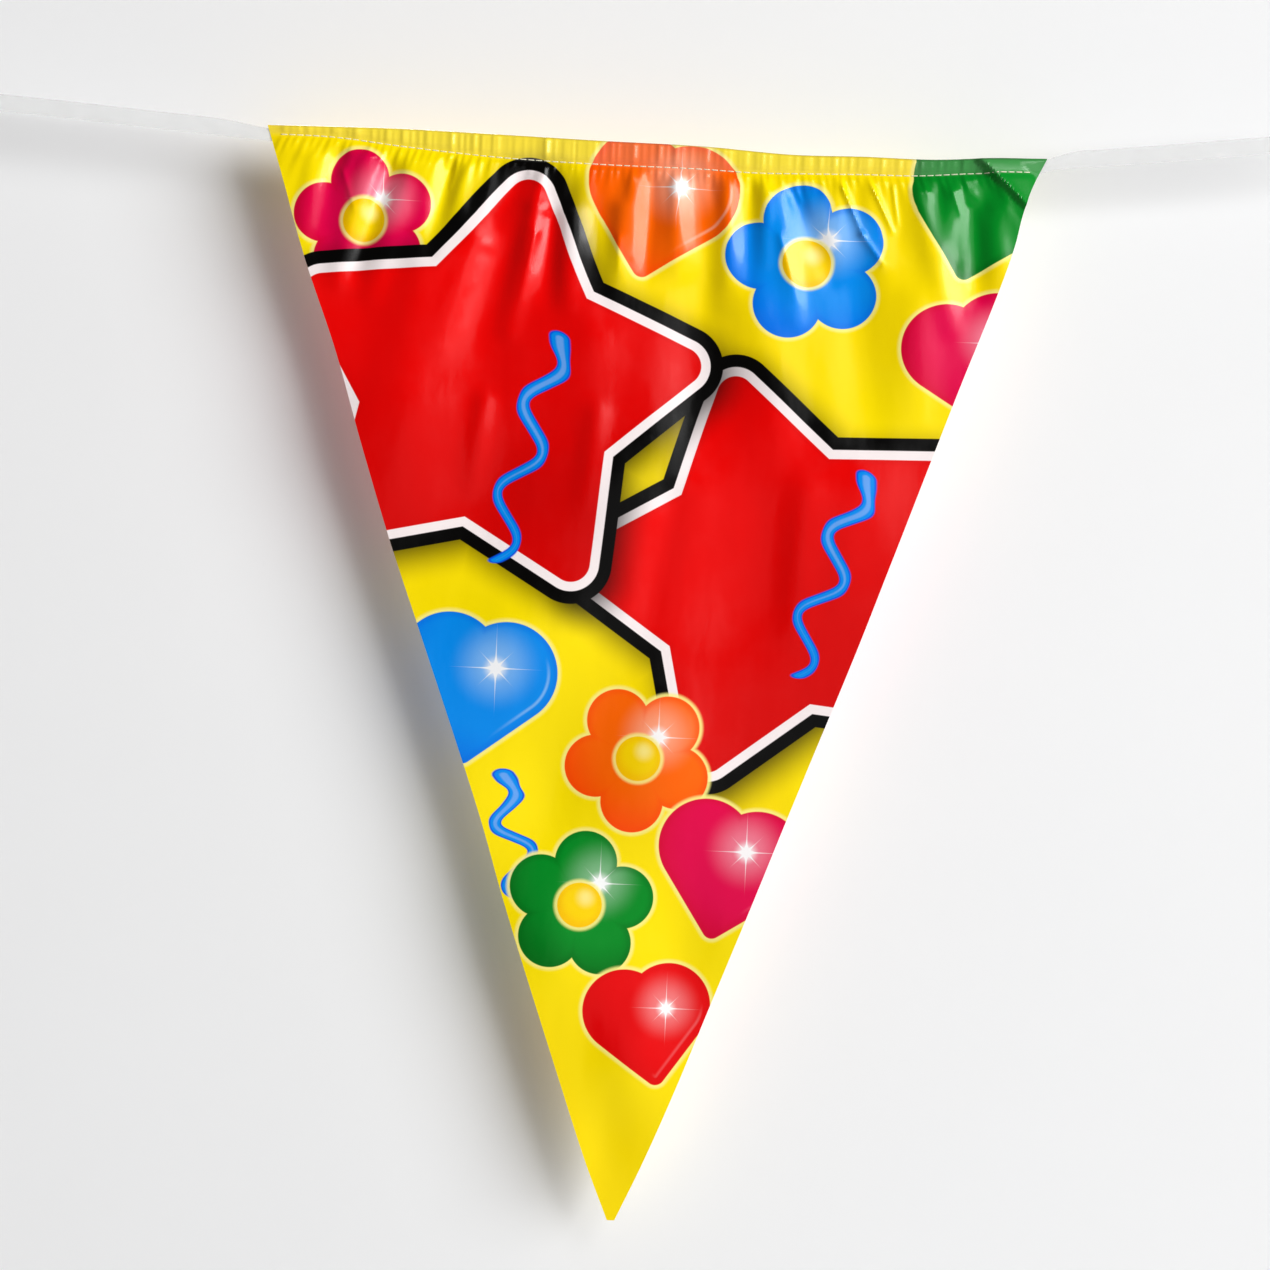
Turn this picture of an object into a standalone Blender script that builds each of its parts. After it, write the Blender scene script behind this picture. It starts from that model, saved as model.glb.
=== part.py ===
"""Birthday pennant banner: one printed film pennant, gathered and sewn on a carrying tape.

The pennant is a long triangle of thin plastic film. Its top edge is folded over the tape and sewn
down in one row, which draws the film into small gathers. Longer folds fan out from that row, and
the lower half hangs nearly flat. The tape runs on past both corners and rises on both sides, more
on the left, so the pennant hangs turned a little.

The front faces -Y, +X is to the right and +Z is up. The origin is the middle of the straight line
between the pennant's top corners. Tables are in millimetres. "across" is measured along that line
from its middle and "down" at right angles to it, before the pennant is turned to hang.
"""

import math
from bisect import bisect_right
from collections import namedtuple

import bmesh
import bpy
from mathutils import Vector

MM = 0.001

# The pennant, in millimetres
WIDTH = 210.0
HEIGHT = 290.5
TIP_WIDTH = 2.0
FILM = 1.0
HANGING_TURN = math.radians(2.5)

# The hem: film, slit, tape, slit and film again
TAPE_THICKNESS = 1.0
SLIT = 0.35
HEM_RADIUS = TAPE_THICKNESS / 2 + SLIT + FILM / 2
BEND_CENTRE = FILM / 2 + HEM_RADIUS
FLAP_DEPTH = 9.0
HEM_GATHER = 0.35

# The tape lies bunched in the hem and opens out beyond it
TAPE_TOP = 1.5
TAPE_BUNCHED = 3.0
TAPE_WIDTH = 4.6
TAPE_IN_HEM = 104.0
TAPE_STEP = 4.0

# The folds start under the tape and are at full height a little below it
FOLDS_START, FOLDS_FULL = 5.0, 10.0
TOP_LINE_FADES = 70.0
STAND_KEPT, STAND_GONE = 12.0, 110.0

# Gathers under the stitches
GATHER_PITCH = 7.0
GATHER_LENGTH = 21.0
GATHER_HEIGHT = 0.75
GATHER_FAN = 0.006

# The rows and columns of faces that the film is divided into
FLAP_ROWS = (FLAP_DEPTH, 5.4)
BEND_STEPS = 4
TOP_ROWS = (3.6, 5.2, 7.5, 10.5, 14.0, 18.0, 22.5, 27.5)
TOP_COLUMNS = 112
LOWER_START = 33.0
LOWER_ROWS = 42
LOWER_COLUMNS = 48

# How far the top fold lies above the straight line between the corners, uneven along it
TopRow = namedtuple("TopRow", "across rise")
TOP_EDGE = (
    TopRow(-105.0, 0.0),
    TopRow(-88.0, 0.3),
    TopRow(-69.0, 0.5),
    TopRow(-42.0, 0.1),
    TopRow(-15.0, -0.4),
    TopRow(12.0, -0.7),
    TopRow(36.0, -1.9),
    TopRow(56.0, -1.6),
    TopRow(74.0, -1.6),
    TopRow(92.0, -0.4),
    TopRow(105.0, 0.0),
)

# How far the sides stand out of the straight lines from the corners to the tip
SideRow = namedtuple("SideRow", "down left right")
SIDES = (
    SideRow(0.0, 0.0, 0.0),
    SideRow(9.0, 0.8, -1.1),
    SideRow(16.0, 1.2, -1.1),
    SideRow(24.0, 1.6, -0.2),
    SideRow(38.0, 1.9, 0.6),
    SideRow(60.0, 1.6, 1.0),
    SideRow(85.0, 2.4, 1.4),
    SideRow(110.0, 2.8, 1.9),
    SideRow(135.0, 2.3, 2.3),
    SideRow(165.0, 1.8, 2.4),
    SideRow(185.0, 1.8, 2.5),
    SideRow(205.0, 2.7, 2.5),
    SideRow(232.0, 2.9, 2.3),
    SideRow(255.0, 2.6, 2.0),
    SideRow(275.0, 1.8, 1.2),
    SideRow(HEIGHT, 0.0, 0.0),
)

# Long soft folds, from where each starts to where it ends. A negative height is a trough.
Fold = namedtuple("Fold", "across down end_across end_down width height")
FOLDS = (
    Fold(-92.5, 9.0, -94.5, 30.0, 3.4, 0.9),
    Fold(-85.0, 7.5, -89.0, 25.0, 3.0, -1.1),
    Fold(-77.5, 8.0, -84.0, 40.0, 3.6, 1.5),
    Fold(-71.0, 12.0, -80.0, 38.0, 2.8, -1.2),
    Fold(-65.0, 9.0, -75.0, 44.0, 3.6, 1.2),
    Fold(-59.0, 8.0, -62.5, 19.0, 2.4, 0.9),
    Fold(-55.5, 9.0, -60.0, 32.0, 2.8, -1.3),
    Fold(-51.0, 9.0, -54.0, 22.0, 2.6, 0.9),
    Fold(-47.0, 30.0, -56.0, 56.0, 5.0, 1.4),
    Fold(-36.0, 10.0, -42.0, 22.0, 3.0, -0.9),
    Fold(-31.5, 20.0, -38.0, 52.0, 3.4, 1.3),
    Fold(-27.5, 22.0, -28.0, 42.0, 3.2, -1.0),
    Fold(-23.5, 20.0, -22.0, 44.0, 3.2, 1.0),
    Fold(-15.0, 20.0, -12.0, 48.0, 4.2, -0.9),
    Fold(-9.0, 18.0, -9.0, 36.0, 2.6, 0.8),
    Fold(3.0, 9.0, 5.5, 30.0, 4.0, 1.0),
    Fold(14.0, 9.0, 15.5, 44.0, 4.2, -1.0),
    Fold(22.0, 12.0, 25.0, 38.0, 3.6, 0.7),
    Fold(33.0, 12.0, 39.5, 46.0, 3.4, 1.2),
    Fold(38.0, 11.0, 48.0, 34.0, 3.2, -1.2),
    Fold(50.0, 7.5, 62.0, 29.5, 1.9, 1.5),
    Fold(58.0, 7.5, 64.5, 21.0, 1.9, 1.2),
    Fold(64.0, 9.0, 65.5, 18.0, 1.9, 0.8),
    Fold(71.5, 10.0, 81.0, 46.0, 3.6, 1.3),
    Fold(79.5, 9.0, 79.0, 26.0, 3.0, 0.9),
    Fold(86.5, 14.0, 88.0, 38.0, 3.2, -1.2),
    Fold(92.5, 15.0, 95.0, 36.0, 3.6, 0.9),
)

# Wide, shallow swells and dents
Swell = namedtuple("Swell", "across down wide tall height")
SWELLS = (
    Swell(-66.0, 72.0, 14.0, 12.0, 1.2),
    Swell(-44.0, 84.0, 12.0, 16.0, -1.0),
    Swell(-6.0, 66.0, 22.0, 18.0, 1.3),
    Swell(52.0, 62.0, 18.0, 22.0, -1.2),
    Swell(30.0, 112.0, 20.0, 24.0, 1.5),
    Swell(-28.0, 132.0, 20.0, 18.0, 1.3),
    Swell(8.0, 168.0, 16.0, 26.0, -1.4),
    Swell(-20.0, 204.0, 14.0, 22.0, 1.2),
    Swell(16.0, 226.0, 12.0, 20.0, 1.3),
    Swell(-2.0, 262.0, 9.0, 22.0, -1.2),
)

# The top right corner is turned back along a slanting crease
Crease = namedtuple("Crease", "across down end_across end_down softness slope")
CORNER_CREASE = Crease(86.5, 1.0, 100.5, 13.5, 0.8, 0.25)

# The carrying tape beyond each corner, in place
TapeRow = namedtuple("TapeRow", "along height width")
TAPE_LEFT = (
    TapeRow(-189.0, 11.8, TAPE_WIDTH),
    TapeRow(-164.0, 9.2, TAPE_WIDTH),
    TapeRow(-138.0, 6.3, TAPE_WIDTH),
    TapeRow(-116.0, 3.8, TAPE_WIDTH),
    TapeRow(-109.0, 2.6, 3.9),
)
TAPE_RIGHT = (
    TapeRow(109.0, -6.2, 3.9),
    TapeRow(115.0, -4.7, TAPE_WIDTH),
    TapeRow(138.0, -2.9, TAPE_WIDTH),
    TapeRow(164.0, -0.9, TAPE_WIDTH),
    TapeRow(189.0, 0.8, TAPE_WIDTH),
)

Finish = namedtuple("Finish", "name colour roughness")
FILM_FINISH = Finish("printed_film", (0.95, 0.62, 0.0), 0.25)
TAPE_FINISH = Finish("white_tape", (0.86, 0.86, 0.84), 0.45)


def clear_scene():
    """Removes whatever the file holds."""
    for thing in list(bpy.data.objects):
        bpy.data.objects.remove(thing, do_unlink=True)


def eased(low, high, at):
    """Goes smoothly from 0 at low to 1 at high."""
    share = min(max((at - low) / (high - low), 0.0), 1.0)
    return share * share * (3.0 - 2.0 * share)


def read(rows, column, at):
    """Reads a column of a table at a place between its rows, on a smooth curve through them."""
    keys = [row[0] for row in rows]
    values = [getattr(row, column) for row in rows]
    last = len(rows) - 1
    first = min(max(bisect_right(keys, at) - 1, 0), last - 1)
    span = keys[first + 1] - keys[first]
    share = min(max((at - keys[first]) / span, 0.0), 1.0)
    slopes = []
    for row in (first, first + 1):
        before, after = max(row - 1, 0), min(row + 1, last)
        slopes.append(span * (values[after] - values[before]) / (keys[after] - keys[before]))
    start, end = values[first], values[first + 1]
    bend = share * (1.0 - share)
    return (
        start
        + (end - start) * share * share * (3.0 - 2.0 * share)
        + bend * ((1.0 - share) * slopes[0] - share * slopes[1])
    )


def side_limits(down):
    """The film's left and right edge at a depth."""
    half = TIP_WIDTH / 2 + (WIDTH - TIP_WIDTH) / 2 * (1.0 - down / HEIGHT)
    return -half - read(SIDES, "left", down), half + read(SIDES, "right", down)


def fold_height(fold, across, down):
    """One long fold: a soft ridge or trough that sinks towards its end."""
    run_across, run_down = fold.end_across - fold.across, fold.end_down - fold.down
    along = (across - fold.across) * run_across + (down - fold.down) * run_down
    along = min(max(along / (run_across**2 + run_down**2), 0.0), 1.0)
    away = math.hypot(
        across - fold.across - along * run_across, down - fold.down - along * run_down
    )
    return fold.height * (1.0 - 0.6 * along * along) * math.exp(-((away / fold.width) ** 2))


def swell_height(swell, across, down):
    """One wide swell or dent."""
    away = ((across - swell.across) / swell.wide) ** 2 + ((down - swell.down) / swell.tall) ** 2
    return swell.height * math.exp(-away)


def gather_height(across, down):
    """The small gathers under the stitches, uneven in place, length and height."""
    total = 0.0
    for number in range(round(WIDTH / GATHER_PITCH)):
        middle = (number + 0.5) * GATHER_PITCH - WIDTH / 2 + 1.6 * math.sin(2.4 * number)
        middle *= 1.0 + GATHER_FAN * down
        if abs(across - middle) > GATHER_PITCH:
            continue
        length = GATHER_LENGTH * (0.75 + 0.3 * math.sin(1.7 * number + 1.0))
        height = GATHER_HEIGHT * (0.7 + 0.3 * math.sin(3.1 * number))
        narrow = 0.32 * GATHER_PITCH * (1.0 + 0.02 * down)
        fade = 1.0 - eased(0.3 * length, 1.3 * length, down)
        total += height * fade * math.exp(-(((across - middle) / narrow) ** 2))
    return total


def corner_height(across, down):
    """How far the turned corner stands behind the rest, beyond its crease."""
    crease = CORNER_CREASE
    run_across, run_down = crease.end_across - crease.across, crease.end_down - crease.down
    length = math.hypot(run_across, run_down)
    beyond = (across - crease.across) * run_down - (down - crease.down) * run_across
    beyond /= length
    bend = math.log1p(math.exp(min(beyond / crease.softness, 40.0)))
    return -crease.slope * crease.softness * bend


def relief(across, down):
    """How far the hanging film stands forward of its plane."""
    height = gather_height(across, down) + corner_height(across, down)
    height += sum(fold_height(fold, across, down) for fold in FOLDS)
    height += sum(swell_height(swell, across, down) for swell in SWELLS)
    return height * eased(FOLDS_START, FOLDS_FULL, down)


def hem_gather(across, down):
    """The gathers of the hem, which only stand away from the tape."""
    return HEM_GATHER * gather_height(across, 0.0) / GATHER_HEIGHT * (
        1.0 - eased(FOLDS_START, FOLDS_FULL, down)
    )


def place(across, down, forward):
    """A place on the hanging pennant, in metres."""
    fade = 1.0 - eased(0.0, TOP_LINE_FADES, down)
    down -= read(TOP_EDGE, "rise", across) * fade
    turn_cos, turn_sin = math.cos(HANGING_TURN), math.sin(HANGING_TURN)
    return Vector((
        (across * turn_cos - down * turn_sin) * MM,
        -forward * MM,
        (-across * turn_sin - down * turn_cos) * MM,
    ))


def row_places(down, columns):
    """Evenly spaced places across the film at a depth."""
    left, right = side_limits(down)
    return [left + (right - left) * column / columns for column in range(columns + 1)]


def film_rows():
    """Rows of points from the flap's lower edge, over the bend and down the front to the tip."""
    rows = []
    for down in FLAP_ROWS:
        rows.append([
            place(across, down, relief(across, down) - HEM_RADIUS - hem_gather(across, down))
            for across in row_places(down, TOP_COLUMNS)
        ])
    for step in range(BEND_STEPS + 1):
        angle = math.pi * step / BEND_STEPS
        down = BEND_CENTRE - HEM_RADIUS * math.sin(angle)
        rows.append([
            place(across, down, -math.cos(angle) * (HEM_RADIUS + hem_gather(across, down)))
            for across in row_places(down, TOP_COLUMNS)
        ])
    lower = [
        LOWER_START + (HEIGHT - LOWER_START) * step / LOWER_ROWS for step in range(LOWER_ROWS + 1)
    ]
    for down in TOP_ROWS + tuple(lower):
        left_over = (HEIGHT - down) / (HEIGHT - LOWER_START)
        columns = max(1, round(LOWER_COLUMNS * left_over)) if left_over <= 1 else TOP_COLUMNS
        stand = HEM_RADIUS * (1.0 - eased(STAND_KEPT, STAND_GONE, down))
        rows.append([
            place(across, down, stand + hem_gather(across, down) + relief(across, down))
            for across in row_places(down, columns)
        ])
    return rows


def join_rows(mesh, upper, lower):
    """Fills the strip between two rows of points, which may differ in number."""
    if len(upper) == len(lower):
        for number in range(len(upper) - 1):
            mesh.faces.new((upper[number], lower[number], lower[number + 1], upper[number + 1]))
        return
    high, low = 0, 0
    high_end, low_end = len(upper) - 1, len(lower) - 1
    while high < high_end or low < low_end:
        if low == low_end or (high < high_end and (high + 1) * low_end <= (low + 1) * high_end):
            mesh.faces.new((upper[high], lower[low], upper[high + 1]))
            high += 1
        else:
            mesh.faces.new((upper[high], lower[low], lower[low + 1]))
            low += 1


def sheet_object(name, rows, thickness, finish):
    """A sheet through rows of points, given its thickness."""
    mesh = bmesh.new()
    points = [[mesh.verts.new(point) for point in row] for row in rows]
    for upper, lower in zip(points, points[1:]):
        join_rows(mesh, upper, lower)
    data = bpy.data.meshes.new(name)
    mesh.to_mesh(data)
    mesh.free()
    data.shade_smooth()
    data.materials.append(material(finish))
    sheet = bpy.data.objects.new(name, data)
    bpy.context.scene.collection.objects.link(sheet)
    solid = sheet.modifiers.new("Thickness", "SOLIDIFY")
    solid.thickness = thickness * MM
    solid.offset = 0.0
    solid.use_even_offset = True
    return sheet


def material(finish):
    """A plain finish for one node."""
    made = bpy.data.materials.new(finish.name)
    made.use_nodes = True
    shader = made.node_tree.nodes["Principled BSDF"]
    shader.inputs["Base Color"].default_value = (*finish.colour, 1.0)
    shader.inputs["Roughness"].default_value = finish.roughness
    shader.inputs["Metallic"].default_value = 0.0
    return made


def tape_rows():
    """The tape's lower and upper edge, from its left end through the hem to its right end."""
    lower, upper = [], []

    def add(middle, width):
        lower.append(middle - Vector((0.0, 0.0, width / 2 * MM)))
        upper.append(middle + Vector((0.0, 0.0, width / 2 * MM)))

    for row in TAPE_LEFT:
        add(Vector((row.along * MM, 0.0, row.height * MM)), row.width)
    steps = round(2 * TAPE_IN_HEM / TAPE_STEP)
    for step in range(steps + 1):
        across = TAPE_IN_HEM * (2 * step / steps - 1)
        add(place(across, TAPE_TOP + TAPE_BUNCHED / 2, 0.0), TAPE_BUNCHED)
    for row in TAPE_RIGHT:
        add(Vector((row.along * MM, 0.0, row.height * MM)), row.width)
    return [upper, lower]


def build():
    """Makes the pennant and its tape."""
    clear_scene()
    sheet_object("pennant", film_rows(), FILM, FILM_FINISH)
    sheet_object("tape", tape_rows(), TAPE_THICKNESS, TAPE_FINISH)


build()
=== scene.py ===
"""Birthday pennant banner: printed film, carrying tape and sewing, their finishes and a plain stage.

The film is one sheet. It starts as a flap behind the tape, bends over it, and hangs in front down to
the tip. A row of stitches goes through both layers and the tape, and gathers the film. Fine puckers
stand on both sides of the stitches, and longer folds and a few sharp creases fan out below them.

Tables are in millimetres. "across" is measured along the line between the pennant's top corners from
its middle, "down" at right angles to it, before the pennant is turned to hang. Settings are in metres.
The print is drawn with distances in millimetres on the film's own flat map, so it follows the folds.
"""

import math
from collections import namedtuple

import bmesh
import bpy
import numpy as np
from bpy.props import FloatProperty, FloatVectorProperty, IntProperty, PointerProperty
from bpy.types import Operator, Panel, PropertyGroup
from mathutils import Matrix, Vector, noise


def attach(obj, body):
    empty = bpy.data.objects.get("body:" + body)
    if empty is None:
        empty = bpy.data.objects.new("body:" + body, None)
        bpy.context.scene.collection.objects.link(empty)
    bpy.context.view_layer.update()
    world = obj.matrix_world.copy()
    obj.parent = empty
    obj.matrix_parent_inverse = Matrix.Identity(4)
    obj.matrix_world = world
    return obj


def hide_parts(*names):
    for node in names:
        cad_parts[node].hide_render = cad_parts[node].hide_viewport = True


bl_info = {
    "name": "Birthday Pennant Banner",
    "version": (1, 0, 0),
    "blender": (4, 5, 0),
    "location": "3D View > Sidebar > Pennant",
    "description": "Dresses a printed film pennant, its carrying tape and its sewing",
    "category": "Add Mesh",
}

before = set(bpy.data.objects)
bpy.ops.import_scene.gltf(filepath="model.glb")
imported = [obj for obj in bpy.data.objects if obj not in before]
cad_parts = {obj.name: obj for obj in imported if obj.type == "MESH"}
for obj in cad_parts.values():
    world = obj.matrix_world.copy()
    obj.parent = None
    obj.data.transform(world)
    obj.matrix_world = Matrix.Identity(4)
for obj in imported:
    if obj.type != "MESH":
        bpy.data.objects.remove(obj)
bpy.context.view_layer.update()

MM = 0.001

# The pennant, in millimetres
WIDTH = 210.0
HEIGHT = 290.5
TIP_WIDTH = 2.0
HANGING_TURN = math.radians(2.5)
TOP_LINE_FADES = 70.0

# The hem: how far each layer of film stands from the middle of the tape, where it is pinched, how
# softly the double film ends at the stitches, and how much closer it lies at its two ends
HEM_RADIUS = 0.95
BEND_CENTRE = 1.0
FLAP_DEPTH = 9.0
HEM_PINCH = 0.66
PINCH_REACH = 1.1
DOUBLED_EDGE = 0.3
END_PRESSED, END_FROM = 0.5, 97.0
STAND_KEPT, STAND_GONE = 12.0, 110.0

# The folds start under the stitches, and never above the tape's lower edge
FOLDS_START, FOLDS_RUN = 4.3, 4.5
FOLDS_UNDER_THREAD = 0.3

# Where the row of stitches starts and ends, and how far apart the stitches are
SEWN_FROM, SEWN_TO = -101.5, 102.3
STITCH_PITCH = 2.15

# Gathers under the stitches, from the long ones to the fine puckers, one for each stitch. Each ridge
# starts narrow at the thread and widens as it runs down. "above" is its height in the hem. They fan
# out and lean, vary in length and strength, and keep their height for the first share of their length.
Gather = namedtuple("Gather", "pitch sway length height above width widening rise")
GATHERS = (
    Gather(12.6, 3.2, 60.0, 1.0, 0.26, 1.6, 0.15, 8.0),
    Gather(6.1, 1.8, 24.0, 0.41, 0.28, 0.95, 0.09, 2.6),
    Gather(STITCH_PITCH, 0.45, 7.0, 0.29, 0.18, 0.45, 0.065, 0.6),
)
GATHER_FAN, GATHER_LEAN = 0.0045, 0.08
GATHER_UNEVEN, GATHER_HOLDS = 0.4, 0.2
HEM_RISE = 0.9
FLAP_SHARE = 0.5

# Small unevenness of the whole film
RIPPLE_TOP, RIPPLE_LOW = 0.16, 0.07
RIPPLE_WIDE, RIPPLE_TALL = 8.0, 30.0

# The rows and columns of faces that the film is divided into. Columns are those at full width.
Zone = namedtuple("Zone", "start end step columns")
FLAP_STEP, FLAP_COLUMNS = 1.0, 320
BEND_STEPS, BEND_COLUMNS = 10, 520
ZONES = (
    Zone(1.75, 36.0, 0.75, 560),
    Zone(36.0, 80.0, 1.5, 300),
    Zone(80.0, HEIGHT, 2.4, 180),
)
SMOOTH_ANGLE = math.radians(35)

# The flat map of the film: this many millimetres fit its width and its height
MAP_WIDTH, MAP_HEIGHT = 260.0, 320.0
MAP_ABOVE = 20.0

# How far the top fold lies above the straight line between the corners, uneven along it
TopRow = namedtuple("TopRow", "across rise")
TOP_EDGE = (
    TopRow(-105.0, 0.0),
    TopRow(-88.0, 0.3),
    TopRow(-69.0, 0.5),
    TopRow(-42.0, 0.1),
    TopRow(-15.0, -0.4),
    TopRow(12.0, -0.7),
    TopRow(36.0, -1.9),
    TopRow(56.0, -1.6),
    TopRow(74.0, -1.6),
    TopRow(92.0, -0.4),
    TopRow(105.0, 0.0),
)

# How far the stitches run under the top fold
StitchRow = namedtuple("StitchRow", "across depth")
STITCH_LINE = (
    StitchRow(-105.0, 2.4),
    StitchRow(-87.0, 2.9),
    StitchRow(-68.0, 4.8),
    StitchRow(-42.0, 6.2),
    StitchRow(-15.0, 6.4),
    StitchRow(12.0, 6.2),
    StitchRow(25.0, 5.9),
    StitchRow(38.0, 5.1),
    StitchRow(54.0, 4.9),
    StitchRow(68.0, 4.6),
    StitchRow(80.0, 4.1),
    StitchRow(92.0, 4.1),
    StitchRow(105.0, 3.7),
)

# How far the sides stand out of the straight lines from the corners to the tip
SideRow = namedtuple("SideRow", "down left right")
SIDES = (
    SideRow(0.0, 0.0, 0.0),
    SideRow(9.0, 0.2, -1.0),
    SideRow(16.0, 0.4, -0.5),
    SideRow(24.0, 0.8, 0.7),
    SideRow(38.0, 1.1, 1.4),
    SideRow(60.0, 0.5, 1.5),
    SideRow(85.0, 1.3, 1.9),
    SideRow(110.0, 1.8, 2.3),
    SideRow(135.0, 1.3, 2.7),
    SideRow(165.0, 0.7, 2.5),
    SideRow(185.0, 0.6, 2.4),
    SideRow(205.0, 1.2, 2.4),
    SideRow(232.0, 1.3, 2.2),
    SideRow(255.0, 1.2, 2.0),
    SideRow(275.0, 1.0, 1.3),
    SideRow(HEIGHT, 0.0, 0.0),
)

# Long soft folds, from where each starts to where it ends. A negative height is a trough.
Fold = namedtuple("Fold", "across down end_across end_down width height")
FOLDS = (
    Fold(-92.5, 9.0, -94.5, 30.0, 3.4, 0.9),
    Fold(-85.0, 7.5, -89.0, 25.0, 3.0, -1.1),
    Fold(-77.5, 8.0, -84.0, 40.0, 3.6, 1.5),
    Fold(-71.0, 12.0, -80.0, 38.0, 2.8, -1.2),
    Fold(-65.0, 9.0, -75.0, 44.0, 3.6, 1.2),
    Fold(-59.0, 8.0, -62.5, 19.0, 2.4, 0.9),
    Fold(-55.5, 9.0, -60.0, 32.0, 2.8, -1.3),
    Fold(-51.0, 9.0, -54.0, 22.0, 2.6, 0.9),
    Fold(-47.0, 30.0, -56.0, 56.0, 5.0, 1.4),
    Fold(-36.0, 10.0, -42.0, 22.0, 3.0, -0.9),
    Fold(-31.5, 20.0, -38.0, 52.0, 3.4, 1.3),
    Fold(-27.5, 22.0, -28.0, 42.0, 3.2, -1.0),
    Fold(-23.5, 20.0, -22.0, 44.0, 3.2, 1.0),
    Fold(-15.0, 20.0, -12.0, 48.0, 4.2, -0.9),
    Fold(-9.0, 18.0, -9.0, 36.0, 2.6, 0.8),
    Fold(-5.0, 9.0, -5.5, 30.0, 2.2, 0.8),
    Fold(-0.3, 8.0, -1.5, 34.0, 2.4, -0.9),
    Fold(5.5, 9.0, 6.5, 34.0, 3.0, 0.8),
    Fold(14.0, 9.0, 15.5, 44.0, 3.4, -0.9),
    Fold(19.5, 8.0, 20.5, 36.0, 2.4, 0.7),
    Fold(25.5, 8.0, 26.5, 38.0, 2.4, -0.6),
    Fold(29.5, 9.0, 30.5, 30.0, 2.2, 0.6),
    Fold(33.0, 12.0, 39.5, 46.0, 3.4, 1.2),
    Fold(38.0, 11.0, 48.0, 34.0, 3.2, -1.2),
    Fold(71.5, 10.0, 81.0, 46.0, 3.6, 1.3),
    Fold(79.5, 9.0, 79.0, 26.0, 3.0, 0.9),
    Fold(86.5, 14.0, 88.0, 38.0, 3.2, -1.2),
    Fold(92.5, 15.0, 95.0, 36.0, 3.6, 0.9),
    Fold(-60.0, 32.0, -66.0, 66.0, 8.0, 1.6),
    Fold(-41.0, 34.0, -45.0, 68.0, 8.0, -1.3),
    Fold(-12.0, 34.0, -16.0, 72.0, 7.0, 1.2),
    Fold(12.0, 40.0, 14.0, 82.0, 8.0, -1.4),
    Fold(30.0, 44.0, 37.0, 88.0, 8.0, 1.5),
    Fold(54.0, 34.0, 60.0, 76.0, 7.0, -1.3),
    Fold(72.0, 40.0, 72.0, 70.0, 6.0, 1.2),
    Fold(-43.5, 72.0, -46.0, 94.0, 3.0, 0.8),
    Fold(-13.0, 74.0, -15.0, 96.0, 3.4, 0.7),
    Fold(8.0, 96.0, 4.0, 130.0, 4.5, -0.7),
    Fold(44.0, 92.0, 42.0, 128.0, 5.0, 0.8),
)

# Sharp creases, each with a narrow crest
CREASES = (
    Fold(49.0, 6.0, 56.0, 21.5, 1.4, 1.0),
    Fold(56.0, 21.5, 62.0, 29.5, 1.3, 0.8),
    Fold(57.0, 6.0, 64.0, 20.0, 1.3, 0.9),
    Fold(63.7, 8.0, 65.4, 18.0, 1.2, 0.6),
    Fold(36.4, 6.5, 39.4, 12.5, 1.2, 0.6),
    Fold(-84.0, 12.0, -80.5, 22.0, 1.5, 0.4),
    Fold(-53.0, 7.0, -55.0, 15.0, 1.3, 0.5),
    Fold(79.8, 9.5, 81.8, 14.5, 1.6, 0.5),
    Fold(34.0, 23.0, 39.0, 40.0, 1.8, 0.5),
    Fold(-31.8, 26.0, -35.0, 44.0, 1.8, 0.5),
    Fold(-9.2, 26.0, -9.0, 35.0, 1.5, 0.4),
)
CREST, FLANK = 0.25, 0.6
FOLD_SINKS, CREASE_SINKS = 0.6, 0.5

# Wide, shallow swells and dents
Swell = namedtuple("Swell", "across down wide tall height")
SWELLS = (
    Swell(-66.0, 78.0, 16.0, 18.0, 2.2),
    Swell(-44.0, 96.0, 14.0, 14.0, -1.6),
    Swell(-6.0, 92.0, 20.0, 18.0, 1.9),
    Swell(20.0, 62.0, 14.0, 16.0, -1.5),
    Swell(56.0, 96.0, 16.0, 20.0, 1.8),
    Swell(30.0, 122.0, 16.0, 18.0, -1.7),
    Swell(-28.0, 132.0, 18.0, 17.0, 1.9),
    Swell(8.0, 164.0, 15.0, 22.0, 2.0),
    Swell(-22.0, 178.0, 12.0, 16.0, -1.4),
    Swell(-18.0, 212.0, 12.0, 18.0, 1.6),
    Swell(16.0, 214.0, 11.0, 18.0, -1.4),
    Swell(4.0, 246.0, 10.0, 16.0, 1.5),
    Swell(-2.0, 270.0, 8.0, 14.0, -1.0),
)

# A slanting crease turns the top right corner, hem and all. The film's height is given at distances
# beyond the crease, towards the corner.
Line = namedtuple("Line", "across down end_across end_down")
CORNER_CREASE = Line(86.5, 0.0, 100.5, 13.5)
CornerRow = namedtuple("CornerRow", "beyond height")
CORNER_PROFILE = (
    CornerRow(-3.6, 0.0),
    CornerRow(-1.5, 0.35),
    CornerRow(0.0, 2.4),
    CornerRow(7.0, 0.2),
    CornerRow(10.0, 0.0),
)
CORNER_TAUT_FROM, CORNER_TAUT_TO = -2.0, 1.0
CORNER_PINCHED = 0.25

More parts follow.
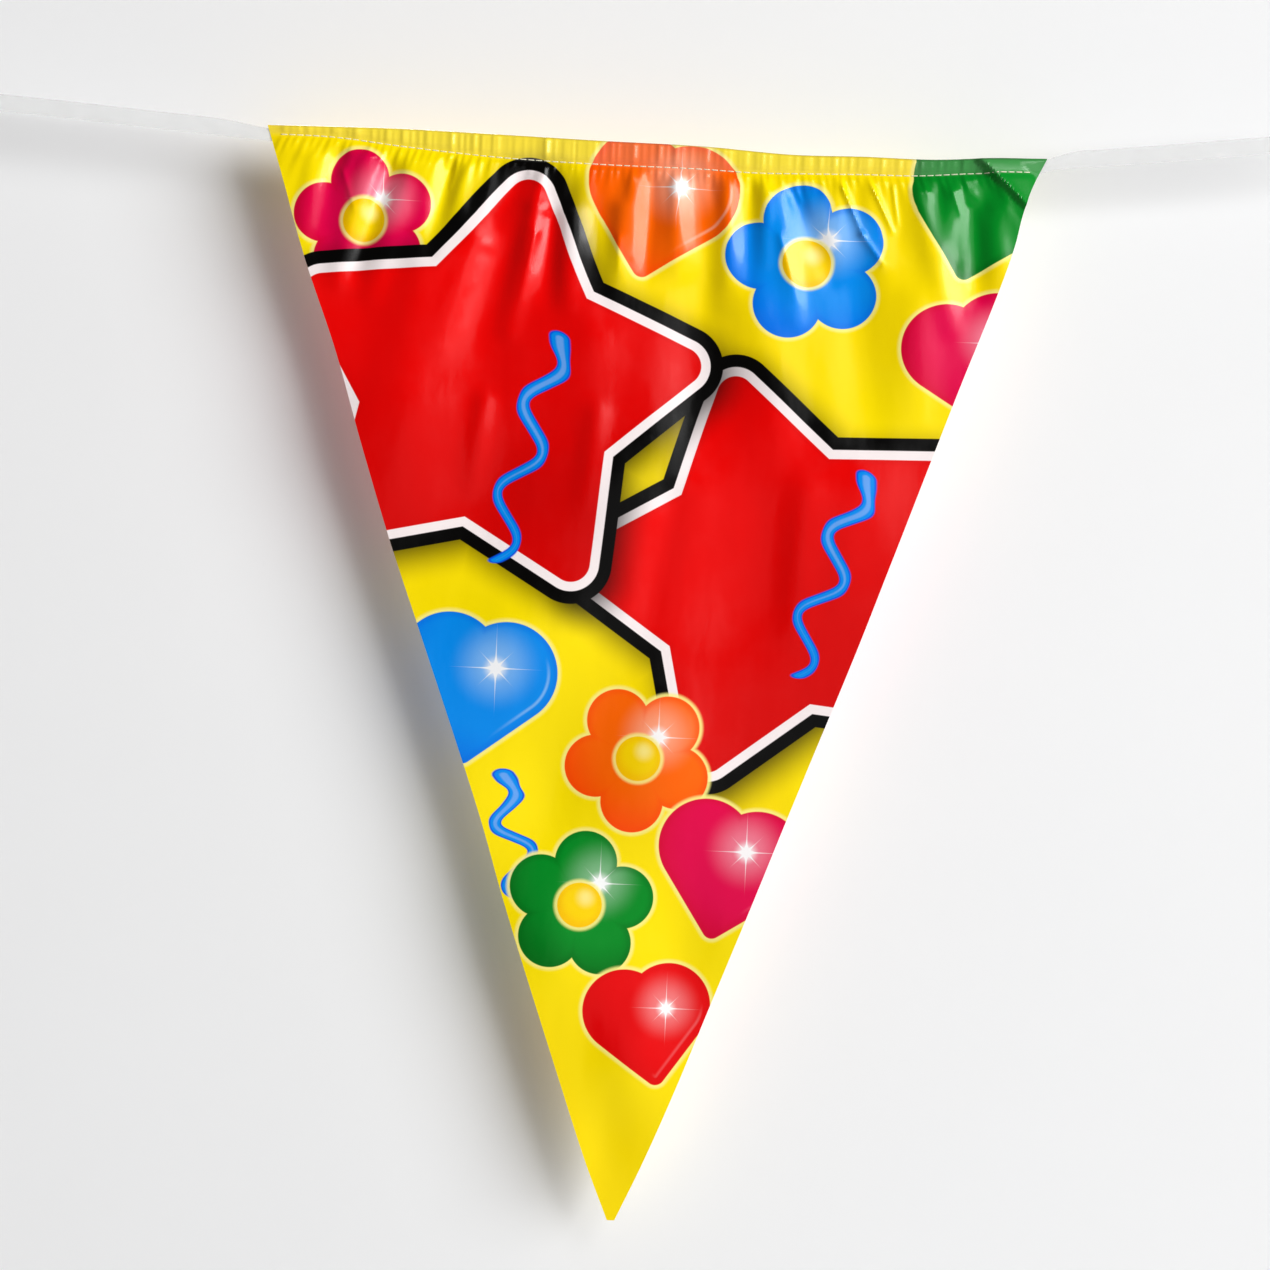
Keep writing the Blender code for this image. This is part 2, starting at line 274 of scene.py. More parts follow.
# The carrying tape beyond each corner, in place, and bunched in the hem
TapeRow = namedtuple("TapeRow", "along height width")
TAPE_TOP = 1.5
TAPE_BUNCHED = 3.0
TAPE_WIDTH = 4.6
TAPE_IN_HEM = 101.0
TAPE_LEFT = (
    TapeRow(-189.0, 11.8, TAPE_WIDTH),
    TapeRow(-164.0, 9.2, TAPE_WIDTH),
    TapeRow(-138.0, 6.3, TAPE_WIDTH),
    TapeRow(-116.0, 3.8, TAPE_WIDTH),
    TapeRow(-109.0, 2.6, 3.9),
)
TAPE_RIGHT = (
    TapeRow(107.5, -5.8, 3.6),
    TapeRow(112.0, -4.9, 4.4),
    TapeRow(118.0, -4.5, TAPE_WIDTH),
    TapeRow(138.0, -3.1, TAPE_WIDTH),
    TapeRow(164.0, -1.0, TAPE_WIDTH),
    TapeRow(189.0, 0.7, TAPE_WIDTH),
)
TAPE_STATION, TAPE_HEM_ROWS = 1.3, 53
TAPE_MAP_ROWS = 20
TAPE_LAYER_GAP = 0.13

# Unevenness of the tape's layers, as smooth waves. "across" is how fast a wave changes over the
# tape's width. The bunched tape is crushed, and sways less.
Wave = namedtuple("Wave", "height length across salt")
TAPE_SWAY = (Wave(0.22, 26.0, 0.8, 0.0), Wave(0.099, 5.0, 1.6, 3.0))
TAPE_CRUSH = (Wave(0.1, 1.9, 4.0, 7.0),)
BUNCHED_HELD = 0.6

# The tape's section, in shares of its width from its middle: where the back layer's free edge lies,
# and where both layers start to turn over the fold at the top
TAPE_BACK_EDGE, TAPE_TURNS = -0.42, 0.46

# How far the thread lies out on the film. A stitch has a straight middle, and ends that go on from
# it in steps along the stitch, into the film and thinner. Steps are shares of the stitch or thread.
# It points along the line between two places on the film, this share of its length to either side.
THREAD_OUT = 0.12
STITCH_MIDDLE, STITCH_AIM = 0.4, 0.4
StitchStep = namedtuple("StitchStep", "reach sink shrink")
STITCH_END = (StitchStep(0.2, 0.0, 0.92), StitchStep(0.09, 0.35, 0.8), StitchStep(0.02, 0.9, 0.7))


def linear(red, green, blue):
    """The linear colour of a screen colour with parts from 0 to 255."""
    shares = (part / 255 for part in (red, green, blue))
    return tuple(
        share / 12.92 if share <= 0.04045 else ((share + 0.055) / 1.055) ** 2.4 for share in shares
    )


def colour_setting(name, description, red, green, blue):
    """A colour that a user may change."""
    return FloatVectorProperty(
        name=name,
        description=description,
        default=linear(red, green, blue),
        size=3,
        min=0.0,
        max=1.0,
        subtype="COLOR",
    )


def number_setting(name, description, default, low, high, **kind):
    """A number that a user may change between two limits."""
    return FloatProperty(
        name=name, description=description, default=default, min=low, max=high, **kind
    )


class PennantFilmSettings(PropertyGroup):
    """Thickness and finish of the printed film"""

    thickness: number_setting(
        "Thickness", "Thickness of the film", 0.00013, 0.00005, 0.0003, unit="LENGTH"
    )
    gloss: number_setting(
        "Roughness", "Roughness of the film's glossy face", 0.19, 0.05, 0.8, subtype="FACTOR"
    )
    paler_back: number_setting(
        "Paler back",
        "How much paler the print shows through on the back",
        0.42,
        0.0,
        1.0,
        subtype="FACTOR",
    )


class PennantPrintSettings(PropertyGroup):
    """Colours of the print"""

    ground: colour_setting("Ground", "Yellow of the ground", 255, 231, 0)
    ground_low: colour_setting("Ground, deep", "Deeper yellow of the ground", 252, 216, 0)
    halo: colour_setting("Halo", "Pale yellow line round the motifs", 255, 244, 150)
    red: colour_setting("Red", "Red of the large stars", 240, 2, 2)
    red_low: colour_setting("Red, deep", "Deeper red of the large stars", 214, 0, 0)
    line: colour_setting("Inner line", "White line inside the black one", 250, 240, 240)
    outline: colour_setting("Outline", "Black line round the stars", 2, 2, 2)
    pink: colour_setting("Pink", "Pink motifs", 230, 0, 84)
    orange: colour_setting("Orange", "Orange motifs", 255, 112, 0)
    green: colour_setting("Green", "Green motifs", 0, 146, 44)
    blue: colour_setting("Blue", "Blue motifs", 0, 148, 240)
    crimson: colour_setting("Crimson", "Red motifs", 236, 4, 12)


class PennantTapeSettings(PropertyGroup):
    """Sizes and colour of the carrying tape"""

    layer: number_setting(
        "Layer",
        "Thickness of each of the tape's two layers",
        0.00008,
        0.00004,
        0.00012,
        unit="LENGTH",
    )
    colour: colour_setting("Colour", "White of the tape", 243, 244, 244)
    cover: number_setting(
        "Cover",
        "How much of the light behind it each face of the thin tape holds back",
        0.28,
        0.1,
        1.0,
        subtype="FACTOR",
    )


class PennantStitchSettings(PropertyGroup):
    """Sizes and colour of the sewing"""

    gap: number_setting("Gap", "Gap between two stitches", 0.0003, 0.0001, 0.002, unit="LENGTH")
    thread: number_setting(
        "Thread", "Thickness of the thread", 0.00033, 0.0002, 0.0008, unit="LENGTH"
    )
    sides: IntProperty(
        name="Sides", description="Sides of the round thread", default=6, min=4, max=8
    )
    colour: colour_setting("Thread", "White of the thread", 250, 246, 222)


class PennantStageSettings(PropertyGroup):
    """Camera, backdrop, floor and lights"""

    lens: number_setting("Lens", "Focal length of the camera", 85.0, 35.0, 200.0, unit="CAMERA")
    distance: number_setting(
        "Distance", "From the camera to the pennant", 0.807, 0.3, 3.0, unit="LENGTH"
    )
    backdrop: number_setting(
        "Backdrop", "How far it stands behind the pennant", 0.0185, 0.005, 0.5, unit="LENGTH"
    )
    floor: number_setting(
        "Floor", "How far it lies under the pennant's top edge", 1.1, 0.3, 2.0, unit="LENGTH"
    )
    key: number_setting(
        "Key light", "Power of the large light at the front right", 273.0, 0.0, 500.0, unit="POWER"
    )
    room: number_setting(
        "Room light", "Strength of the even light all round", 0.1, 0.0, 3.0, subtype="FACTOR"
    )
    wall_colour: colour_setting("Wall", "Pale colour of the backdrop", 244, 245, 246)
    floor_colour: colour_setting("Floor", "Pale grey of the floor", 186, 187, 188)


def deselect_all():
    """Leaves nothing selected, the model's own solids included."""
    bpy.ops.object.select_all(action="DESELECT")


def make_active(thing):
    """Selects one object for the next operators."""
    thing.select_set(True)
    bpy.context.view_layer.objects.active = thing


def new_object(name, data):
    """An object in the scene with its data."""
    thing = bpy.data.objects.new(name, data)
    bpy.context.scene.collection.objects.link(thing)
    return thing


# Shapes of the hanging film


def eased(low, high, at):
    """Goes smoothly from 0 at low to 1 at high."""
    share = np.clip((at - low) / (high - low), 0.0, 1.0)
    return share * share * (3.0 - 2.0 * share)


def curve(keys, values, at):
    """Reads a smooth curve through values at keys."""
    keys, values = np.asarray(keys, float), np.asarray(values, float)
    first = np.clip(np.searchsorted(keys, at, side="right") - 1, 0, len(keys) - 2)
    span = keys[first + 1] - keys[first]
    share = np.clip((at - keys[first]) / span, 0.0, 1.0)
    before = np.concatenate(([0], np.arange(len(keys) - 1)))
    after = np.concatenate((np.arange(1, len(keys)), [len(keys) - 1]))
    slopes = (values[after] - values[before]) / (keys[after] - keys[before])
    start, end = values[first], values[first + 1]
    bend = share * (1.0 - share) * span
    return (
        start
        + (end - start) * share * share * (3.0 - 2.0 * share)
        + bend * ((1.0 - share) * slopes[first] - share * slopes[first + 1])
    )


def read(rows, column, at):
    """Reads a column of a table at places between its rows."""
    return curve([row[0] for row in rows], [getattr(row, column) for row in rows], at)


def side_limits(down):
    """The film's left and right edge at a depth."""
    half = (TIP_WIDTH + (WIDTH - TIP_WIDTH) * (1.0 - down / HEIGHT)) / 2
    return -half - read(SIDES, "left", down), half + read(SIDES, "right", down)


def stitch_depth(across):
    """How far under the top fold the stitches run."""
    return read(STITCH_LINE, "depth", across)


def from_fold(fold, across, down):
    """Share of the way along a fold, and the distance from it."""
    run_across, run_down = fold.end_across - fold.across, fold.end_down - fold.down
    along = (across - fold.across) * run_across + (down - fold.down) * run_down
    along = np.clip(along / (run_across**2 + run_down**2), 0.0, 1.0)
    away = np.hypot(across - fold.across - along * run_across, down - fold.down - along * run_down)
    return along, away


def fold_height(fold, across, down):
    """One long fold: a soft ridge or trough that sinks towards its end."""
    along, away = from_fold(fold, across, down)
    return fold.height * (1.0 - FOLD_SINKS * along * along) * np.exp(-((away / fold.width) ** 2))


def crease_height(fold, across, down):
    """One sharp crease, with a narrow crest and hollow flanks."""
    along, away = from_fold(fold, across, down)
    flank = np.exp(-(np.sqrt(away * away + CREST * CREST) - CREST) / (FLANK * fold.width))
    return fold.height * (1.0 - CREASE_SINKS * along * along) * flank


def swell_height(swell, across, down):
    """One wide swell or dent."""
    away = ((across - swell.across) / swell.wide) ** 2 + ((down - swell.down) / swell.tall) ** 2
    return swell.height * np.exp(-away)


def uneven(number, salt):
    """A fixed uneven value from -1 to 1 for each number."""
    return 2.0 * (math.sin(12.9898 * number + 78.233 * salt) * 43758.5453 % 1.0) - 1.0


def gather_height(across, down, below_share=1.0):
    """The gathers and puckers, flat where the thread holds them."""
    under = down - stitch_depth(across)
    below = np.maximum(under, 0.0)
    hem = 1.0 - np.exp(np.minimum(under, 0.0) / HEM_RISE)
    total = np.zeros(np.broadcast(across, down).shape)
    for salt, gather in enumerate(GATHERS, 1):
        rise = below_share * gather.height * (1.0 - np.exp(-below / gather.rise))
        width = gather.width + gather.widening * below
        for number in range(round((SEWN_TO - SEWN_FROM) / gather.pitch)):
            start = SEWN_FROM + (number + 0.5) * gather.pitch + gather.sway * uneven(number, salt)
            lean = GATHER_FAN * start + GATHER_LEAN * uneven(number, salt + 0.3)
            length = gather.length * (1.0 + GATHER_UNEVEN * uneven(number, salt + 0.5))
            strength = 1.0 - GATHER_UNEVEN + GATHER_UNEVEN * uneven(number, salt + 0.7)
            height = rise * (1.0 - eased(GATHER_HOLDS * length, length, below)) + gather.above * hem
            total += strength * height * np.exp(-(((across - start - lean * below) / width) ** 2))
    return total


def beyond_corner(across, down):
    """How far a place lies beyond the corner's crease."""
    crease = CORNER_CREASE
    run_across, run_down = crease.end_across - crease.across, crease.end_down - crease.down
    beyond = (across - crease.across) * run_down - (down - crease.down) * run_across
    return beyond / math.hypot(run_across, run_down)


def ripple_height(across, down):
    """Small uneven ripples, longer than they are wide."""
    across, down = np.broadcast_arrays(across, down)
    places = zip(across.ravel() / RIPPLE_WIDE, down.ravel() / RIPPLE_TALL)
    waves = np.array([noise.noise(Vector((wide, tall, 0.4))) for wide, tall in places])
    height = RIPPLE_TOP + (RIPPLE_LOW - RIPPLE_TOP) * eased(10.0, 90.0, down)
    return height * waves.reshape(across.shape)


def relief(across, down):
    """How far the hanging film stands forward of its plane, under the tape."""
    height = ripple_height(across, down)
    for fold in FOLDS:
        height = height + fold_height(fold, across, down)
    for fold in CREASES:
        height = height + crease_height(fold, across, down)
    for swell in SWELLS:
        height = height + swell_height(swell, across, down)
    start = np.maximum(stitch_depth(across) + FOLDS_UNDER_THREAD, FOLDS_START)
    return height * eased(start, start + FOLDS_RUN, down)


def hem_stand(across, down, below_share=1.0):
    """How far a layer of film stands from the tape's middle, pinched along the stitches."""
    pinch = HEM_PINCH * np.exp(-(((down - stitch_depth(across)) / PINCH_REACH) ** 2))
    stand = HEM_RADIUS * (1.0 - eased(STAND_KEPT, STAND_GONE, down))
    stand = stand * (1.0 - END_PRESSED * eased(END_FROM, WIDTH / 2, np.abs(across)))
    beyond = beyond_corner(across, down)
    corner = np.interp(beyond, *zip(*CORNER_PROFILE))
    slack = 1.0 - eased(CORNER_TAUT_FROM, CORNER_TAUT_TO, beyond)
    pinch = pinch * (CORNER_PINCHED + (1.0 - CORNER_PINCHED) * slack)
    gathers = gather_height(across, down, below_share) * slack
    return stand * (1.0 - pinch) + below_share * corner + gathers


def place(across, down, forward):
    """Places on the hanging pennant, in metres."""
    fade = 1.0 - eased(0.0, TOP_LINE_FADES, down)
    down = down - read(TOP_EDGE, "rise", across) * fade
    turn_cos, turn_sin = math.cos(HANGING_TURN), math.sin(HANGING_TURN)
    return MM * np.stack(
        (across * turn_cos - down * turn_sin, -forward, -across * turn_sin - down * turn_cos),
        axis=-1,
    )


def row_across(down, columns):
    """Evenly spaced places across the film at a depth."""
    left, right = side_limits(down)
    return np.linspace(left, right, columns + 1)


def film_row(down, columns, forward, map_down, doubled):
    """One row of points across the film, with their places on the flat map.

    doubled is 1 where the film lies double over the tape, and 0 where it is single."""
    across = row_across(down, columns)
    points = place(across, down, forward(across))
    # Puckered film is longer than it looks, which shifts the print a little along the row
    steps = np.linalg.norm(np.diff(points, axis=0), axis=1) / MM
    along = np.concatenate(([0.0], np.cumsum(steps)))
    flat = across[0] + along * (across[-1] - across[0]) / along[-1]
    flat_map = np.stack(
        (0.5 + flat / MAP_WIDTH, np.full_like(flat, 1.0 - (map_down + MAP_ABOVE) / MAP_HEIGHT)),
        axis=-1,
    )
    return points, flat_map, doubled * np.ones_like(across)


def film_rows():
    """Rows of points from the flap's lower edge, over the bend and down the front to the tip."""
    rows = []
    bend_half = math.pi / 2 * HEM_RADIUS
    fold_map = BEND_CENTRE - bend_half
    for down in np.arange(FLAP_DEPTH, BEND_CENTRE + FLAP_STEP / 2, -FLAP_STEP):
        rows.append(film_row(
            down,
            FLAP_COLUMNS,
            lambda across: relief(across, down) - hem_stand(across, down, FLAP_SHARE),
            2 * fold_map - down,
            1.0,
        ))
    for step in range(BEND_STEPS + 1):
        angle = math.pi * step / BEND_STEPS
        down = BEND_CENTRE - HEM_RADIUS * math.sin(angle)
        rows.append(film_row(
            down,
            BEND_COLUMNS,
            lambda across: -math.cos(angle) * hem_stand(across, down),
            fold_map + (angle - math.pi / 2) * HEM_RADIUS,
            1.0,
        ))
    for zone in ZONES:
        count = round((zone.end - zone.start) / zone.step)
        for down in np.linspace(zone.start, zone.end, count, endpoint=zone is ZONES[-1]):
            columns = max(1, round(zone.columns * (1.0 - down / HEIGHT)))
            held = stitch_depth(row_across(down, columns))
            rows.append(film_row(
                down,
                columns,
                lambda across: hem_stand(across, down) + relief(across, down),
                down,
                1.0 - eased(held - DOUBLED_EDGE, held + DOUBLED_EDGE, down),
            ))
    return rows


def join_rows(mesh, upper, lower):
    """Fills the strip between two rows of points, which may differ in number."""
    if len(upper) == len(lower):
        for number in range(len(upper) - 1):
            mesh.faces.new((upper[number], lower[number], lower[number + 1], upper[number + 1]))
        return
    high, low = 0, 0
    high_end, low_end = len(upper) - 1, len(lower) - 1
    while high < high_end or low < low_end:
        if low == low_end or (high < high_end and (high + 1) * low_end <= (low + 1) * high_end):
            mesh.faces.new((upper[high], lower[low], upper[high + 1]))
            high += 1
        else:
            mesh.faces.new((upper[high], lower[low], lower[low + 1]))
            low += 1


def sheet_object(name, rows, thickness, materials):
    """A sheet through rows of points with a flat map, closed at its thickness.

    The first material is on the printed side. A second one goes on the side away from it."""
    mesh = bmesh.new()
    flat_map = mesh.loops.layers.uv.new("Flat")
    doubled = mesh.verts.layers.float.new("Doubled")
    grid, flat_at = [], {}
    for points, flats, double in rows:
        line = [mesh.verts.new(point) for point in points]
        flat_at.update(zip(line, flats))
        for corner, share in zip(line, double):
            corner[doubled] = share
        grid.append(line)
    for upper, lower in zip(grid, grid[1:]):
        join_rows(mesh, upper, lower)
    for face in mesh.faces:
        for loop in face.loops:
            loop[flat_map].uv = flat_at[loop.vert]
    data = bpy.data.meshes.new(name)
    mesh.to_mesh(data)
    mesh.free()
    for material in materials:
        data.materials.append(material)
    sheet = new_object(name, data)
    solid = sheet.modifiers.new("Thickness", "SOLIDIFY")
    solid.thickness = thickness
    solid.offset = 0.0
    solid.use_even_offset = True
    solid.material_offset = len(materials) - 1
    deselect_all()
    make_active(sheet)
    bpy.ops.object.modifier_apply(modifier=solid.name)
    data.shade_smooth()
    data.set_sharp_from_angle(angle=SMOOTH_ANGLE)
    return sheet


def wave_height(table, stations, share):
    """The height of some waves along one row of the tape."""
    total = np.zeros_like(stations)
    for wave in table:
        side = wave.across * share
        spots = (Vector((at / wave.length, side, wave.salt)) for at in stations)
        total += wave.height * np.array([noise.noise(spot) for spot in spots])
    return total


def tape_rows():
    """The folded tape as long rows of points: down its back layer, round the fold, up its front.

    The back layer's free edge shows as a thin step under the front layer's."""
    steps = np.linspace(-TAPE_IN_HEM, TAPE_IN_HEM, TAPE_HEM_ROWS)
    in_hem = place(steps, TAPE_TOP + TAPE_BUNCHED / 2, np.zeros_like(steps)) / MM
    run = (*TAPE_LEFT, *(TapeRow(at[0], at[2], TAPE_BUNCHED) for at in in_hem), *TAPE_RIGHT)
    start, end = run[0].along, run[-1].along
    stations = np.linspace(start, end, round((end - start) / TAPE_STATION) + 1)
    middle, wide = read(run, "height", stations), read(run, "width", stations)
    bunched = 1.0 - eased(TAPE_BUNCHED, TAPE_WIDTH, wide)
    # Each row is a share of the width from the middle, and a layer: 1 in front, -1 behind
    section = [(share, -1.0) for share in np.linspace(TAPE_BACK_EDGE, TAPE_TURNS, 7)]
    section += [(0.5, math.sin(math.radians(angle))) for angle in (-45, 0, 45)]
    section += [(share, 1.0) for share in np.linspace(TAPE_TURNS, -0.5, 8)]
    rows = []
    for number, (share, layer) in enumerate(section):
        sway = wave_height(TAPE_SWAY, stations, share) * (1.0 - BUNCHED_HELD * bunched)
        crush = wave_height(TAPE_CRUSH, stations, share) * bunched
        forward = layer * TAPE_LAYER_GAP + sway + crush
        points = MM * np.stack((stations, -forward, middle + share * wide), axis=-1)
        across_map = np.full_like(stations, number / TAPE_MAP_ROWS)
        flats = np.stack(((stations - start) / (end - start), across_map), axis=-1)
        rows.append((points, flats, np.ones_like(stations)))
    return rows


# Sewing


def model_stitch(length, thread, sides):
    """One stitch along X: a short round thread whose ends turn down into the film."""
    deselect_all()
    bpy.ops.mesh.primitive_cylinder_add(
        vertices=sides,
        radius=thread / 2,
        depth=STITCH_MIDDLE * length,
        rotation=(0.0, math.pi / 2, 0.0),
    )
    stitch = bpy.context.object
    bpy.ops.object.transform_apply(location=True, rotation=True, scale=True)
    bpy.ops.object.mode_set(mode="EDIT")
    bpy.ops.mesh.select_mode(type="FACE")
    for side in (-1.0, 1.0):
        for reach, sink, shrink in STITCH_END:
            select_end(stitch, side)
            bpy.ops.mesh.extrude_region_move(
                TRANSFORM_OT_translate={"value": (side * reach * length, sink * thread, 0.0)}
            )
            bpy.ops.transform.resize(value=(1.0, shrink, shrink))
    bpy.ops.object.mode_set(mode="OBJECT")
    stitch.data.shade_smooth()
    return stitch


def select_end(stitch, side):
    """Selects the outermost face of a stitch on one side."""
    mesh = bmesh.from_edit_mesh(stitch.data)
    for face in mesh.faces:
        face.select = False
    outermost = max(mesh.faces, key=lambda face: side * face.calc_center_median().x)
    outermost.select = True
    bmesh.update_edit_mesh(stitch.data)


def stitch_places(gap):
    """Where each stitch lies in front and behind, with the way it points."""
    count = int((SEWN_TO - SEWN_FROM) / STITCH_PITCH)
    across = SEWN_FROM + STITCH_PITCH * (np.arange(count) + 0.5)
    reach = STITCH_AIM * (STITCH_PITCH - gap / MM)
    for front in (1.0, -1.0):
        middles = across if front > 0 else across + STITCH_PITCH / 2
        ends = []
        for at in (middles - reach, middles + reach):
            down = stitch_depth(at)
            stand = hem_stand(at, down) + THREAD_OUT
            ends.append(place(at, down, front * stand + relief(at, down)))
        for start, end in zip(*ends):
            yield Vector(start), Vector(end), front


def sew(settings, finish):
    """The row of stitches through both layers of the hem, in front and behind."""
    length = STITCH_PITCH * MM - settings.gap
    model = model_stitch(length, settings.thread, settings.sides)
    copies = []
    for start, end, front in stitch_places(settings.gap):
        copy = model.copy()
        copy.data = model.data.copy()
        bpy.context.scene.collection.objects.link(copy)
        along = (end - start).normalized()
        inward = Vector((0.0, front, 0.0))
        inward = (inward - along * inward.dot(along)).normalized()
        turn = Matrix((along, inward, along.cross(inward))).transposed()
        copy.data.transform(Matrix.Translation((start + end) / 2) @ turn.to_4x4())
        copies.append(copy)
    bpy.data.objects.remove(model, do_unlink=True)
    deselect_all()
    for copy in copies:
        copy.select_set(True)
    make_active(copies[0])
    bpy.ops.object.join()
    sewing = bpy.context.object
    sewing.name = sewing.data.name = "stitches"
    sewing.data.materials.clear()
    sewing.data.materials.append(finish)
    return sewing


# Shader sums


class Sums:
    """Adds nodes to one tree and joins them up."""

    def __init__(self, tree):
        self.tree = tree

    def add(self, kind, feeds=(), **settings):
        """One node, with its settings and what goes into its sockets."""
        node = self.tree.nodes.new(kind)
        for name, value in settings.items():
            setattr(node, name, value)
        self.fill(node, dict(feeds))
        return node

    def fill(self, node, feeds):
        """Feeds a node's sockets by their names or numbers."""
        for socket, value in feeds.items():
            self.feed(node.inputs[socket], value)

    def feed(self, socket, value):
        """Links a socket to another, or gives it a value."""
        if isinstance(value, bpy.types.NodeSocket):
            self.tree.links.new(value, socket)
        elif socket.type == "RGBA" and len(value) == 3:
            socket.default_value = (*value, 1.0)
        else:
            socket.default_value = value

    def math(self, operation, *values):
        """One sum of one to three numbers."""
        return self.add("ShaderNodeMath", enumerate(values), operation=operation).outputs[0]

    def vector(self, operation, *values):
        """One sum of vectors whose result is a vector."""
        return self.add("ShaderNodeVectorMath", enumerate(values), operation=operation).outputs[0]

    def measure(self, operation, *values):
        """One sum of vectors whose result is a number."""
        node = self.add("ShaderNodeVectorMath", enumerate(values), operation=operation)
        return node.outputs["Value"]

    def parts(self, vector):
        """The X and Y part of a vector."""
        node = self.add("ShaderNodeSeparateXYZ", {0: vector})
        return node.outputs[0], node.outputs[1]

    def join(self, across, up):
        """A vector from its X and Y part."""
        return self.add("ShaderNodeCombineXYZ", {0: across, 1: up}).outputs[0]

    def turn(self, vector, angle):
        """A vector turned about Z."""
        feeds = {"Vector": vector, "Angle": angle}
        return self.add("ShaderNodeVectorRotate", feeds, rotation_type="Z_AXIS").outputs[0]

    def stretch(self, vector, scale):
        """A vector with its parts scaled."""
        return self.add("ShaderNodeMapping", {"Vector": vector, "Scale": scale}).outputs[0]

    def cloud(self, vector, scale, detail, roughness=0.5):
        """Smooth uneven values from 0 to 1."""
        feeds = {"Vector": vector, "Scale": scale, "Detail": detail, "Roughness": roughness}
        return self.add("ShaderNodeTexNoise", feeds).outputs[0]

    def bump(self, height, strength, distance, **under):
        """A shallow relief. It may lie over another, given as its Normal."""
        feeds = {"Height": height, "Strength": strength, "Distance": distance, **under}
        return self.add("ShaderNodeBump", feeds).outputs[0]

    def step(self, value, low, high, start=0.0, end=1.0):
        """Goes smoothly from start at low to end at high."""
        feeds = {"Value": value, "From Min": low, "From Max": high, "To Min": start, "To Max": end}
        return self.add("ShaderNodeMapRange", feeds, interpolation_type="SMOOTHSTEP").outputs[0]

    def inside(self, distance, edge=0.0, soft=0.14):
        """1 where a distance is under an edge, and 0 beyond it."""
        return self.step(distance, edge - soft, edge + soft, 1.0, 0.0)

    def blend(self, cover, below, above, kind="MIX"):
        """Lays one colour over another."""
        feeds = {0: cover, 6: below, 7: above}
        return self.add("ShaderNodeMix", feeds, data_type="RGBA", blend_type=kind).outputs[2]

    def tint(self, cover, colour, dimmer):
        """A colour, made dimmer where the cover is 1."""
        return self.blend(cover, tuple(colour), tuple(dimmer * part for part in colour))

    def use(self, group, **feeds):
        """Places a node group and feeds it by its sockets' names."""
        node = self.add("ShaderNodeGroup", node_tree=group)
        self.fill(node, {name.replace("_", " "): value for name, value in feeds.items()})
        return node.outputs[0]


def new_group(name, result, kind, **sockets):
    """An empty node group with named sockets, its sums, what its inputs give, and its output."""
    group = bpy.data.node_groups.new(name, "ShaderNodeTree")
    for label, socket_kind in sockets.items():
        label = label.replace("_", " ")
        group.interface.new_socket(name=label, in_out="INPUT", socket_type=socket_kind)
    group.interface.new_socket(name=result, in_out="OUTPUT", socket_type=kind)
    sums = Sums(group)
    inputs = sums.add("NodeGroupInput").outputs
    output = sums.add("NodeGroupOutput").inputs[0]
    return group, sums, inputs, output


NUMBER, PLACE, COLOUR = "NodeSocketFloat", "NodeSocketVector", "NodeSocketColor"

# The shine's white, the film's own white on its back, and the grey white that the doubled hem is drawn
# towards: partly the tape showing through, partly painted shade and painted sheen
WHITE, BACK_WHITE, HEM_TAPE_AND_SHADE_WHITE = (1.0, 1.0, 1.0), (0.86, 0.86, 0.84), (0.68, 0.68, 0.66)
HEM_TAPE_AND_SHADE_SHARE = 0.1


def form_group(name):
    """A group for the distance from the edge of a form that has a place and a size."""
    return new_group(name, "Distance", NUMBER, Place=PLACE, Size=NUMBER)


def five_fold(sums, inputs):
    """Folds a place into one of five like sectors. Gives it, and its distance from the middle."""
    scaled = sums.vector("DIVIDE", inputs["Place"], inputs["Size"])
    across, up = sums.parts(scaled)
    angle = sums.math("PINGPONG", sums.math("ARCTAN2", across, up), math.pi / 5)
    radius = sums.measure("LENGTH", scaled)
    along = sums.math("MULTIPLY", radius, sums.math("COSINE", angle))
    aside = sums.math("MULTIPLY", radius, sums.math("SINE", angle))
    return sums.join(along, aside), radius


def heart_group():
    """Distance from the edge of a heart with its point down, rounded at the point."""
    group, sums, inputs, output = form_group("Heart")
    # The plain heart is 1.2 wide and 1.1 high, and its point is at 0. A size is 0.7 of its units.
    units, middle, rounding = 0.7, (0.0, 0.54, 0.0), 2.6
    lobe_middle, lobe_radius = (0.25, 0.75, 0.0), 0.35355
    scaled = sums.vector("DIVIDE", inputs["Place"], inputs["Size"])
    across, up = sums.parts(sums.vector("MULTIPLY_ADD", scaled, (units,) * 3, middle))
    across = sums.math("ABSOLUTE", across)
    reach = sums.math("ADD", across, up)
    here = sums.join(across, up)
    lobe = sums.math("SUBTRACT", sums.measure("DISTANCE", here, lobe_middle), lobe_radius)
    slant = sums.math("MAXIMUM", sums.math("MULTIPLY", reach, 0.5), 0.0)
    from_dent = sums.measure("DISTANCE", here, (0.0, 1.0, 0.0))
    from_slant = sums.measure("DISTANCE", here, sums.join(slant, slant))
    flank = sums.math("MINIMUM", from_dent, from_slant)
    flank = sums.math("MULTIPLY", flank, sums.math("SIGN", sums.math("SUBTRACT", across, up)))
    upper = sums.math("GREATER_THAN", reach, 1.0)
    distance = sums.add("ShaderNodeMix", {0: upper, 2: flank, 3: lobe}, data_type="FLOAT").outputs[0]
    real = sums.math("MULTIPLY", distance, sums.math("DIVIDE", inputs["Size"], units))
    sums.feed(output, sums.math("SUBTRACT", real, rounding))
    return group


